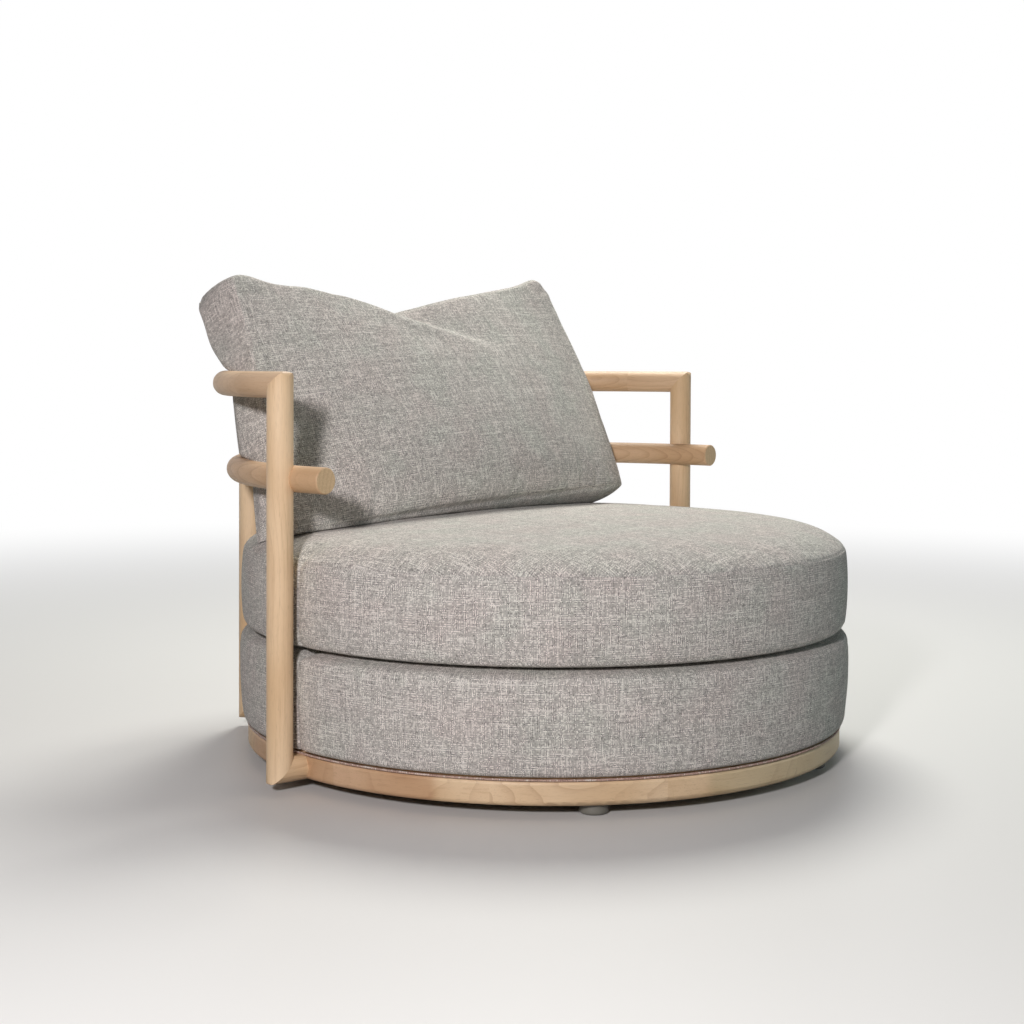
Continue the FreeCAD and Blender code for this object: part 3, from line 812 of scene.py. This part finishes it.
# The side's line from its foot up and over the top, in mm: how far in from the radius, and how far up
DRUM_SIDE = [
    (16, 5), (10, 6.5), (6, 13), (3, 40), (0.5, 80), (0.2, 115),
    (0.7, 141), (2.0, 149), (5.5, 154.5), (12, 157.5), (24, 159.5),
]
DRUM_SIDE = [(drum_r - inset * MM, drum_foot + up * MM) for inset, up in DRUM_SIDE]
DRUM_SIDE.append((drum_r - 42 * MM, drum_top - 0.8 * MM))


def blurred(values, blur):
    """Values smoothed over so many neighbours to each side."""
    kernel = np.hanning(2 * blur + 1)
    kernel /= kernel.sum()
    return np.convolve(np.pad(values, blur, mode="reflect", reflect_type="odd"), kernel, "valid")


CURVE_POINTS = 400
CURVE_BLUR = 15


def curve_through(stops, count):
    """Points evenly spaced along a smooth curve through stops."""
    stops = np.array(stops)
    way = np.concatenate([[0], np.cumsum(np.linalg.norm(np.diff(stops, axis=0), axis=1))])
    fine = np.linspace(0, way[-1], CURVE_POINTS)
    x = blurred(np.interp(fine, way, stops[:, 0]), CURVE_BLUR)
    z = blurred(np.interp(fine, way, stops[:, 1]), CURVE_BLUR)
    line = np.stack([x, z], -1)
    length = np.concatenate([[0], np.cumsum(np.linalg.norm(np.diff(line, axis=0), axis=1))])
    at = np.linspace(0, length[-1], count)
    return np.stack([np.interp(at, length, x), np.interp(at, length, z)], -1), at


DRUM_FOLD = 15 * MM
DRUM_FOLD_W = 4.0 * MM
DRUM_DIP = 11 * MM
DRUM_DIP_W = 13 * MM
DRUM_DIP_H = 45 * MM
DRUM_SEAM_Z = drum_top - 22 * MM
DRUM_INNER_R = drum_r - 64 * MM


def make_drum(material):
    """The drum's cloth: a taut side, drawn in behind the posts, turned over the top."""
    line, way = curve_through(DRUM_SIDE, 34)
    radius, turn = grid(line[:, 0], angles)
    z = np.repeat(line[:, 1][:, None], len(angles), axis=1)
    gap = fold_gap(turn)
    depth = DRUM_FOLD * np.exp(-gap / DRUM_FOLD_W)
    even = turned_points(radius, turn, z).reshape(-1, 3)
    sag = wave(even, 0.16, 3.0).reshape(radius.shape)
    fine = wave(even, 0.035, 5.0).reshape(radius.shape)
    side = clip((z - line[0, 1]) / (30 * MM)) * clip((drum_top - z) / (12 * MM))
    radius = radius - depth + sag * 0.9 * MM * side + fine * 0.35 * MM * side
    dip = DRUM_DIP * np.exp(-gap / DRUM_DIP_W) * clip((z - drum_top + DRUM_DIP_H) / DRUM_DIP_H) ** 2
    seam = np.minimum(np.abs(z - DRUM_SEAM_Z), 1.0)
    z = z - dip
    points = turned_points(radius, turn, z)
    lay = np.stack([turn * drum_r, np.repeat(way[:, None], len(angles), axis=1)], -1)
    work = Patchwork()
    work.add(points, lay, seam[..., None])
    shares = np.linspace(0, 1, 5)[:, None, None]
    rim = points[-1] * (1 - shares) + ring_at(DRUM_INNER_R, drum_top) * shares
    work.add_plain(rim)
    work.add_plain(np.stack([rim[-1], ring_at(DRUM_INNER_R, drum_top - 2 * MM)]))
    work.add_plain(np.stack([ring_at(drum_r - 24 * MM, drum_foot + 5 * MM), points[0]]))
    obj, facts = work.sewn("drum_upholstery", material)
    finish_soft(obj, facts[:, 0], 1.1 * MM, 3.2 * MM)
    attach(obj, "frame")
    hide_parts("drum_cover", "side_foam")


DECK_R = drum_r - 62 * MM
DECK_T = 3 * MM
DECK_DROP = 2.2 * MM


def make_deck(material):
    """The plain cloth on top of the drum, under the seat cushion."""
    work = Patchwork()

    def height(radius):
        return drum_top - 0.2 * MM - DECK_DROP * (radius / DECK_R) ** 12

    points, radius = disc_points(DECK_R, height)
    work.add(points, points[..., :2], radius[..., None])
    low = points - np.array([0, 0, DECK_T])
    work.add(low, low[..., :2], radius[..., None], flip=True)
    obj = work.sewn("deck_cloth_top", material)[0]
    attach(obj, "frame")
    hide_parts("deck_cloth", "deck_pad")


# Seat cushion


SEAT_LOW_SEAM = seat_foot + 12 * MM
SEAT_TOP_SEAM = seat_foot + 141 * MM
SEAT_SEAM_R = seat_r - 5 * MM
SEAT_SHOULDER = (seat_r - 84 * MM, seat_foot + 174.5 * MM)
SEAT_CORE_R = SEAT_SHOULDER[0] + 28 * MM
SEAT_BELLY = 5 * MM
SEAT_FOLD = 13 * MM
SEAT_FOLD_W = 4.0 * MM
SEAT_FOLD_REACH = 70 * MM
SEAT_DIP = 9 * MM
SEAT_DIP_W = 14 * MM
SEAT_SETTLE = 2.2 * MM
SEAT_SWELL = 3 * MM
EDGE = 3 * MM
BY_EDGE = 9 * MM
HELD_SEAM_W = 4 * MM
HELD_FOLD_W = 9 * MM
# The underside's line in from the low seam, in mm: how far in, and how far down
SEAT_UNDER = [(0, 0), (3, 3.4), (9, 6.6), (18, 8.4), (32, 10.4)]
SEAT_UNDER = [(SEAT_SEAM_R - inset * MM, SEAT_LOW_SEAM - down * MM) for inset, down in SEAT_UNDER]
SEAT_UNDER = np.array(SEAT_UNDER + [(SEAT_CORE_R, seat_foot)])
ON_TOP = 1.0
ON_SIDE = 0.0
BELOW = -1.0


def seat_top(radius):
    """Height of the seat cushion's top at a radius, apart from its folds."""
    shoulder_r, shoulder_z = SEAT_SHOULDER
    crown = seat_crown - (seat_crown - shoulder_z) * (radius / shoulder_r) ** 2
    share = clip((radius - shoulder_r) / (SEAT_SEAM_R - shoulder_r))
    slope = 2 * (seat_crown - shoulder_z) / shoulder_r * (SEAT_SEAM_R - shoulder_r)
    drop = shoulder_z - SEAT_TOP_SEAM
    edge = shoulder_z - slope * share - (drop - slope) * share ** 2.5
    return np.where(radius < shoulder_r, crown, edge)


def make_seat(material):
    """The round boxed seat cushion, drawn in behind the posts."""
    work = Patchwork()

    def add_level(points, radius, part, flip=False):
        facts = np.stack([SEAT_SEAM_R - radius, np.full_like(radius, part)], -1)
        work.add(points, points[..., :2], facts, flip)

    top, radius = disc_points(SEAT_CORE_R, seat_top)
    add_level(top, radius, ON_TOP)
    rows = steps((SEAT_CORE_R, SEAT_SEAM_R - BY_EDGE, 7), (SEAT_SEAM_R - BY_EDGE, SEAT_SEAM_R - EDGE, 2),
                 (SEAT_SEAM_R - EDGE, SEAT_SEAM_R, 1))
    radius, turn = grid(rows, angles)
    add_level(turned_points(radius, turn, seat_top(radius)), radius, ON_TOP)

    low = SEAT_LOW_SEAM
    high = SEAT_TOP_SEAM
    z, turn = grid(edged(high, low, -EDGE, -BY_EDGE, 1, 15), angles)
    share = (z - low) / (high - low)
    radius = SEAT_SEAM_R + SEAT_BELLY * (4 * share * (1 - share)) ** 0.7
    lay = np.stack([turn * seat_r, z], -1)
    facts = np.stack([np.minimum(high - z, z - low), np.full_like(z, ON_SIDE)], -1)
    work.add(turned_points(radius, turn, z), lay, facts)

    radius, turn = grid(SEAT_UNDER[:, 0], angles)
    z = np.repeat(SEAT_UNDER[:, 1][:, None], len(angles), axis=1)
    add_level(turned_points(radius, turn, z), radius, BELOW)
    base, radius = disc_points(SEAT_CORE_R, lambda r: np.full_like(r, seat_foot))
    add_level(base, radius, BELOW, flip=True)

    obj, facts = work.sewn("seat_cushion", material)
    points = coords(obj)
    seam_gap = np.abs(facts[:, 0])
    radius, unit = about_axis(points)
    turn = np.arctan2(unit[:, 1], unit[:, 0])
    gap = fold_gap(turn)
    near_side = clip((radius - (SEAT_SEAM_R - SEAT_FOLD_REACH)) / SEAT_FOLD_REACH) ** 2
    tuck = SEAT_FOLD * np.exp(-gap / SEAT_FOLD_W) * near_side
    top_share = np.clip((points[:, 2] - low) / (high - low), 0, 1.3)
    dip = SEAT_DIP * np.exp(-(gap / SEAT_DIP_W) ** 1.3) * near_side * top_share ** 4
    points[:, :2] -= unit * tuck[:, None]
    points[:, 2] -= dip
    below = facts[:, 1] < 0
    held = np.where(below, 1.0, 0.0)
    held = np.maximum(held, hill(gap, HELD_FOLD_W) * near_side)
    held = np.maximum(held, hill(seam_gap, HELD_SEAM_W) * 0.9)
    on_top = facts[:, 1] > 0
    settle = np.where(on_top, SEAT_SETTLE * (1 - clip(radius / SEAT_SEAM_R) ** 6), 0.0)
    full_z = points[:, 2] + 0.3 * MM
    points[:, 2] -= settle
    set_coords(obj, points)
    inflate(obj, held, 1.2, SEAT_SWELL)

    points = coords(obj)
    points[:, 2] = np.where(on_top, np.minimum(points[:, 2], full_z), points[:, 2])
    along = np.stack([np.cos(turn) * 1.0, np.sin(turn) * 1.0, points[:, 2] * 0.2], -1) * seat_r
    pucker = wave(along, 0.017, 7.0) * 0.6 * MM * np.exp(-seam_gap / (14 * MM))
    soft = wave(points, 0.14, 9.0) * 1.1 * MM * np.where(below, 0, 1)
    set_coords(obj, points + normals(obj) * (pucker + soft)[:, None])
    finish_soft(obj, seam_gap, 1.6 * MM, 2.6 * MM)
    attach(obj, "seat_cushion")
    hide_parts("seat_cushion_cover", "seat_cushion_foam")


# Back cushion


BACK_LEAN_DEG = 24.0
BACK_ROLL_DEG = 2.0
BACK_FOOT = Vector((10 * MM, 158 * MM + axis.y, 412 * MM))
BACK_T = 104 * MM
BACK_TURN = np.array(Euler((-math.radians(BACK_LEAN_DEG), 0, 0)).to_matrix())
BACK_ROLL = np.array(Euler((0, -math.radians(BACK_ROLL_DEG), 0)).to_matrix())


def back_place(local):
    """The cushion's own frame, X across, Y into the back, Z up its face, to the chair's frame."""
    return local @ BACK_TURN.T @ BACK_ROLL.T + np.array(BACK_FOOT)


# Outline of the front seam in the cushion's frame: both sides as (up, across), the top as (across, up)
LEFT_EDGE = np.array([
    (0, -455), (60, -455), (150, -450), (240, -440), (313, -428), (381, -421), (421, -418.5), (465, -416),
]) * MM
RIGHT_EDGE = np.array([
    (0, 446), (50, 451), (100, 454), (213, 460), (288, 451.5), (361, 440.5), (434, 431), (449, 423),
    (460, 414),
]) * MM
TOP_EDGE = np.array([
    (-416, 463), (-402, 469), (-386, 469), (-366, 464), (-345, 457), (-315, 450.5), (-249, 444.5),
    (-176, 429.5), (-107, 410), (-66, 397.5), (-45, 399), (-2, 405), (106, 419.5), (214, 434),
    (323, 448.5), (372, 457), (400, 465), (414, 460),
]) * MM
CHOP_FOOT = np.array([172, 300]) * MM
CHOP_HEAD = np.array([-62, 402]) * MM
CHOP_DEPTH = 30 * MM
CHOP_RIDGE = 7 * MM
CHOP_WIDTH = 75 * MM
CHOP_LIP = 10 * MM
# Soft creases in the front face, in mm: each one's foot, head, depth and width
CREASES = (
    ((-300, 14), (-262, 96), 3.0, 11),
    ((-245, 8), (-222, 62), 2.2, 8),
    ((40, 4), (92, 92), 2.4, 10),
    ((268, 8), (300, 84), 3.0, 10),
    ((330, 10), (349, 120), 3.4, 12),
    ((392, 16), (384, 140), 3.2, 13),
    ((418, 440), (330, 392), 2.6, 12),
    ((-392, 446), (-330, 372), 3.0, 13),
    ((-402, 380), (-352, 348), 1.8, 10),
    ((-430, 60), (-372, 96), 2.4, 11),
)


def soft_curve(stops, at, blur=CURVE_BLUR):
    """A smooth curve through stops of (place, value)."""
    fine = np.linspace(stops[0, 0], stops[-1, 0], CURVE_POINTS)
    return np.interp(at, fine, blurred(np.interp(fine, stops[:, 0], stops[:, 1]), blur))


TOP_BLUR = 6
FOOT_LIFT = 6 * MM


def back_plane(s, t):
    """Across and up places on the cushion's face for shares s (-1..1) and t (0..1)."""
    top_left = LEFT_EDGE[-1, 1]
    top_right = RIGHT_EDGE[-1, 1]
    top = soft_curve(TOP_EDGE, (top_left + top_right) / 2 + s * (top_right - top_left) / 2, TOP_BLUR)
    up = t * top
    left = soft_curve(LEFT_EDGE, up)
    right = soft_curve(RIGHT_EDGE, up)
    across = (left + right) / 2 + s * (right - left) / 2
    return across, up + FOOT_LIFT * (1 - t) ** 6 * np.abs(s) ** 6


def beside(across, up, start, end):
    """The share of the way from start to end at which each place lies, and how far to the left."""
    way = end - start
    length = np.linalg.norm(way)
    way = way / length
    dx = across - start[0]
    dz = up - start[1]
    return (dx * way[0] + dz * way[1]) / length, dx * -way[1] + dz * way[0]


def chop(across, up):
    """How far the dent in the top pushes the face back: a fold of cloth that hangs over a valley."""
    along, off = beside(across, up, CHOP_HEAD, CHOP_FOOT)
    fade = np.clip(1.05 - along, 0, 1.15) ** 1.1 * clip((along + 0.5) / 0.5)
    inner = np.exp(-(np.maximum(off, 0) / CHOP_WIDTH) ** 1.6)
    valley = np.where(off > 0, inner, hill(off, CHOP_LIP))
    crest = hill(off + 21 * MM, 20 * MM)
    flank = hill(off + 42 * MM, 48 * MM)
    return fade * (CHOP_DEPTH * valley - CHOP_RIDGE * (0.8 * crest + 0.5 * flank))


def creased(across, up):
    """How far the small creases draw the front face back, with a soft rise beside each."""
    depth = np.zeros_like(across)
    for foot, head, deep, wide in CREASES:
        along, off = beside(across, up, np.array(foot) * MM, np.array(head) * MM)
        fade = clip(1 - along) ** 1.2 * clip(1 + along * 6)
        spread = wide * MM * (0.6 + 0.8 * clip(along))
        groove = hill(off, spread) - 0.55 * hill(off - 1.7 * spread, spread)
        depth += deep * MM * fade * groove
    return depth


FRONT_BULGE = 60 * MM
REAR_BULGE = 30 * MM
FOOT_BOW = 26 * MM
RIGHT_THIN = 5 * MM
LEFT_FLARE = 9 * MM
LEFT_FLARE_UP = 432 * MM
LEFT_FLARE_H = 34 * MM
LEFT_RISE = 6 * MM
CORNER_OUT = 10 * MM
CORNER_DROP = 7 * MM
SIDE_BOW = 6 * MM
TOP_BOW = 8 * MM
BOTTOM_BOW = 14 * MM


def back_grid(s, t, depth_share):
    """Points at shares of width, height and depth; depth_share 0 is the front face, 1 the back face."""
    across, up = back_plane(s, t)
    low = clip(t) ** 0.62
    full = (1 - s ** 2) * (4 * low * (1 - low)) ** 0.78
    foot_bow = FOOT_BOW * (1 - s ** 2) ** 0.8 * (1 - t) ** 2
    front = -FRONT_BULGE * full - foot_bow + chop(across, up) + creased(across, up)
    back = BACK_T + REAR_BULGE * full - RIGHT_THIN * clip(s) ** 10
    corner = clip((t - 0.93) / 0.07) ** 2 * clip((np.abs(s) - 0.95) / 0.05) ** 2
    flare = -LEFT_FLARE * hill(up - LEFT_FLARE_UP, LEFT_FLARE_H) * clip(-s) ** 6
    flare -= CORNER_OUT * corner * np.sign(s)
    raised = LEFT_RISE * clip(t) ** 6 * np.clip(-s - 0.3, 0, 0.7) / 0.7 - CORNER_DROP * corner
    bow = (4 * depth_share * (1 - depth_share)) ** 0.7
    along_side = 0.45 + 0.55 * clip(4 * t * (1 - t)) ** 0.4
    along_end = 0.5 + 0.5 * clip(1 - s ** 8) ** 0.4
    side_bow = np.sign(s) * np.abs(s) ** 30 * SIDE_BOW * along_side
    end_bow = (TOP_BOW * clip(t) ** 30 - BOTTOM_BOW * (1 - t) ** 30) * along_end
    across = across + flare * depth_share + side_bow * bow
    up = up + raised * depth_share + end_bow * bow
    return np.stack([across, front * (1 - depth_share) + back * depth_share, up], -1)


FREE_REACH = 10.0
HOOP_BULGE = 6 * MM
HOOP_BULGE_GROWTH = 5 * MM
HOOP_BULGE_H = 48 * MM
HOOK_IN = 2.5 * MM
HOOK_FOOT = 22 * MM
HOOK_SLOPE = 0.477
HOOK_SWELL = 8 * MM
HOOK_SWELL_UP = 62 * MM
HOOK_SWELL_H = 34 * MM


def keep_off_rails(points, gap):
    """Presses points into the space in front of both hoops, and rounds them over the top one."""
    radius, unit = about_axis(points)
    z = points[:, 2]
    reach = dowel_r + gap
    limit = np.full_like(radius, lower_r - reach)
    middle = (lower_z + top_z) / 2
    bulge = HOOP_BULGE + HOOP_BULGE_GROWTH * np.clip((z - middle) / HOOP_BULGE_H, -1, 1)
    limit = np.where(z > lower_z + 4 * MM, lower_r + bulge, limit)
    for hoop_r, hoop_z in ((lower_r, lower_z), (top_r, top_z)):
        dz = z - hoop_z
        chord = np.sqrt(np.clip(reach ** 2 - dz ** 2, 0, None))
        limit = np.where(np.abs(dz) < reach, np.minimum(limit, hoop_r - chord), limit)
    dz = z - top_z
    limit = np.where(dz >= reach, FREE_REACH, limit)
    swell = HOOK_SWELL * hill(dz - HOOK_SWELL_UP, HOOK_SWELL_H)
    hook = top_r - HOOK_IN + HOOK_SLOPE * (dz - HOOK_FOOT) + swell
    limit = np.where(dz > 6 * MM, np.minimum(limit, hook), limit)
    points[:, :2] = AXIS_XY + unit * np.minimum(radius, limit)[:, None]
    return points


def keep_off_seat(points, gap):
    """Lifts points clear of the seat cushion's top."""
    floor = seat_top(about_axis(points)[0]) + gap
    points[:, 2] = np.maximum(points[:, 2], floor)
    return points


BACK_HALF = 450 * MM
BACK_SWELL = 5 * MM


def make_back(material):
    """The boxed back cushion, leaning on both hoops and hooked over the top one."""
    edge = EDGE / BACK_HALF
    by_edge = BY_EDGE / BACK_HALF
    s_line = edged(-1, 1, edge, by_edge, 2, 150)
    t_line = edged(0, 1, edge, by_edge, 2, 76)
    d_line = edged(0, 1, 0.03, 0.09, 2, 15)
    work = Patchwork()

    def add_face(share):
        t, s = grid(t_line, s_line)
        points = back_grid(s, t, share)
        gap = np.minimum(1 - np.abs(s), np.minimum(t, 1 - t)) * BACK_HALF
        dent = clip(np.abs(chop(*back_plane(s, t))) / (16 * MM)) * (1 - share)
        work.add(points, points[..., [0, 2]], np.stack([gap, dent], -1))

    def add_boxing(s, t, d, lay):
        points = back_grid(s, t, d)
        facts = np.stack([np.minimum(d, 1 - d) * BACK_T, np.zeros_like(d)], -1)
        work.add(points, points[..., lay], facts)

    for share in (0.0, 1.0):
        add_face(share)
    t, d = grid(t_line, d_line)
    for side in (-1.0, 1.0):
        add_boxing(np.full_like(t, side), t, d, [1, 2])
    s, d = grid(s_line, d_line)
    for end in (0.0, 1.0):
        add_boxing(s, np.full_like(s, end), d, [0, 1])
    obj, facts = work.sewn("back_cushion", material)
    seam_gap = np.abs(facts[:, 0])
    set_coords(obj, back_place(coords(obj)))
    held = np.maximum(hill(seam_gap, HELD_SEAM_W), facts[:, 1] * 0.9)
    inflate(obj, held, 1.5, BACK_SWELL)
    points = coords(obj)
    pucker = wave(points, 0.022, 13.0) * 0.9 * MM * np.exp(-seam_gap / (16 * MM))
    soft = wave(points, 0.11, 17.0) * 1.8 * MM
    points = points + normals(obj) * (pucker + soft)[:, None]
    points = keep_off_rails(points, 0.5 * MM)
    points = keep_off_seat(points, 1.0 * MM)
    set_coords(obj, points)
    finish_soft(obj, seam_gap, 1.8 * MM, 2.8 * MM)
    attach(obj, "back_cushion")
    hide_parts("back_cushion_cover", "back_cushion_fill")


# Piping between the drum's cloth and the ring


CORD_R = 1.8 * MM
CORD_RING_R = drum_r - 13.5 * MM
CORD_SIDES = 12
CORD_STEPS = 480
CORD_WAVES = 260


def make_welt(material):
    """The cord, with a slight swell along it."""
    sides = np.linspace(0, 2 * math.pi, CORD_SIDES + 1)
    side, turn = grid(sides, np.linspace(0, 2 * math.pi, CORD_STEPS + 1))
    swell = CORD_R * (1 + 0.05 * np.sin(turn * CORD_WAVES))
    z = drum_foot + CORD_R + swell * np.sin(side)
    points = turned_points(CORD_RING_R + swell * np.cos(side), turn, z)
    lay = np.stack([turn * CORD_RING_R, side * CORD_R], -1)
    work = Patchwork()
    work.add(points, lay, np.zeros(side.shape)[..., None], flip=True)
    obj = work.sewn("drum_piping", material)[0]
    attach(obj, "frame")
    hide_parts("drum_welt")


# Room


FLOOR_SEEN = rgb(232, 232, 231)
FLOOR_LIT = rgb(150, 150, 148)
FLOOR_SIZE = 60
FLOOR_FADE = (0.8, 4.6)


def make_floor():
    """A plain pale floor that fades to white far from the chair and throws little light back up."""
    bpy.ops.mesh.primitive_plane_add(size=FLOOR_SIZE, location=(0, 0, 0))
    floor = bpy.context.object
    floor.name = "floor"
    g = Graph(bpy.data.materials.new("floor"))
    far = g.length(*g.split(g.object_place())[:2])
    seen = g.seen()
    g.look("Base Color", g.mix(seen, FLOOR_LIT, FLOOR_SEEN))
    g.look("Roughness", 0.5)
    g.look("Specular IOR Level", 0.3)
    fade = g.times(g.band(far, *FLOOR_FADE), seen)
    shaded = g.nodes["Principled BSDF"].outputs[0]
    blend = g.new("MixShader", fade, shaded, g.new("Emission").outputs[0])
    g.put(g.nodes["Material Output"].inputs[0], blend.outputs[0])
    floor.data.materials.append(g.owner)


WORLD_LIGHT = 0.03


def make_world():
    """White where it is seen, and a faint even light elsewhere."""
    world = bpy.data.worlds.new("studio")
    bpy.context.scene.world = world
    g = Graph(world)
    back = g.nodes["Background"]
    back.inputs[0].default_value = (1, 1, 1, 1)
    strength = g.new("MapRange", g.seen(), None, None, WORLD_LIGHT, 1.0)
    g.put(back.inputs[1], strength.outputs[0])


CHAIR_MIDDLE = Vector((0, 0, 0.35))
# Each lamp: name, azimuth from -X towards -Y and height in degrees, distance, width, power and colour
LAMPS = (
    ("key", 28.0, 17.0, 3.6, 0.30, 75.0, (1.0, 0.95, 0.957)),
    ("top", 212.0, 58.0, 2.8, 1.4, 76.0, (1.0, 0.985, 0.92)),
    ("right", 128.0, 12.0, 3.6, 1.6, 11.0, (0.7, 0.95, 1.0)),
)


def make_lamps():
    for name, azimuth, height, distance, width, power, colour in LAMPS:
        data = bpy.data.lights.new(name, "AREA")
        data.shape = "DISK"
        data.size = width
        data.energy = power
        data.color = colour
        lamp = bpy.data.objects.new(name, data)
        level = math.cos(math.radians(height))
        turn = math.radians(azimuth)
        way = Vector((-math.cos(turn) * level, -math.sin(turn) * level, math.sin(math.radians(height))))
        lamp.location = CHAIR_MIDDLE + way * distance
        lamp.rotation_euler = way.to_track_quat("Z", "Y").to_euler()
        bpy.context.scene.collection.objects.link(lamp)


def make_camera():
    data = bpy.data.cameras.new("camera")
    data.lens = CAMERA_LENS_MM
    data.sensor_width = CAMERA_SENSOR_MM
    data.shift_y = CAMERA_SHIFT_Y
    data.clip_end = CAMERA_CLIP_END
    camera = bpy.data.objects.new("camera", data)
    turn = Matrix.Rotation(math.radians(CAMERA_TURN_DEG), 4, "Z")
    tilt = Matrix.Rotation(math.radians(90 - CAMERA_TILT_DEG), 4, "X")
    roll = Matrix.Rotation(math.radians(CAMERA_ROLL_DEG), 4, "Z")
    camera.matrix_world = Matrix.Translation(CAMERA_AT) @ turn @ tilt @ roll
    bpy.context.scene.collection.objects.link(camera)
    bpy.context.scene.camera = camera


make_camera()
make_world()
make_lamps()
make_floor()
bpy.context.scene.view_settings.view_transform = "Standard"
dress_wood()
dress_base()
make_drum(cloth("drum_cloth", 1.0))
make_deck(plain("deck_weave", rgb(196, 192, 184), 0.9, 0.9 * MM))
make_seat(cloth("seat_cloth", 2.0))
make_back(cloth("back_cloth", 3.0))
make_welt(cloth("piping_cloth", 4.0, PIPING_DARK, PIPING_MID, PIPING_LIGHT))
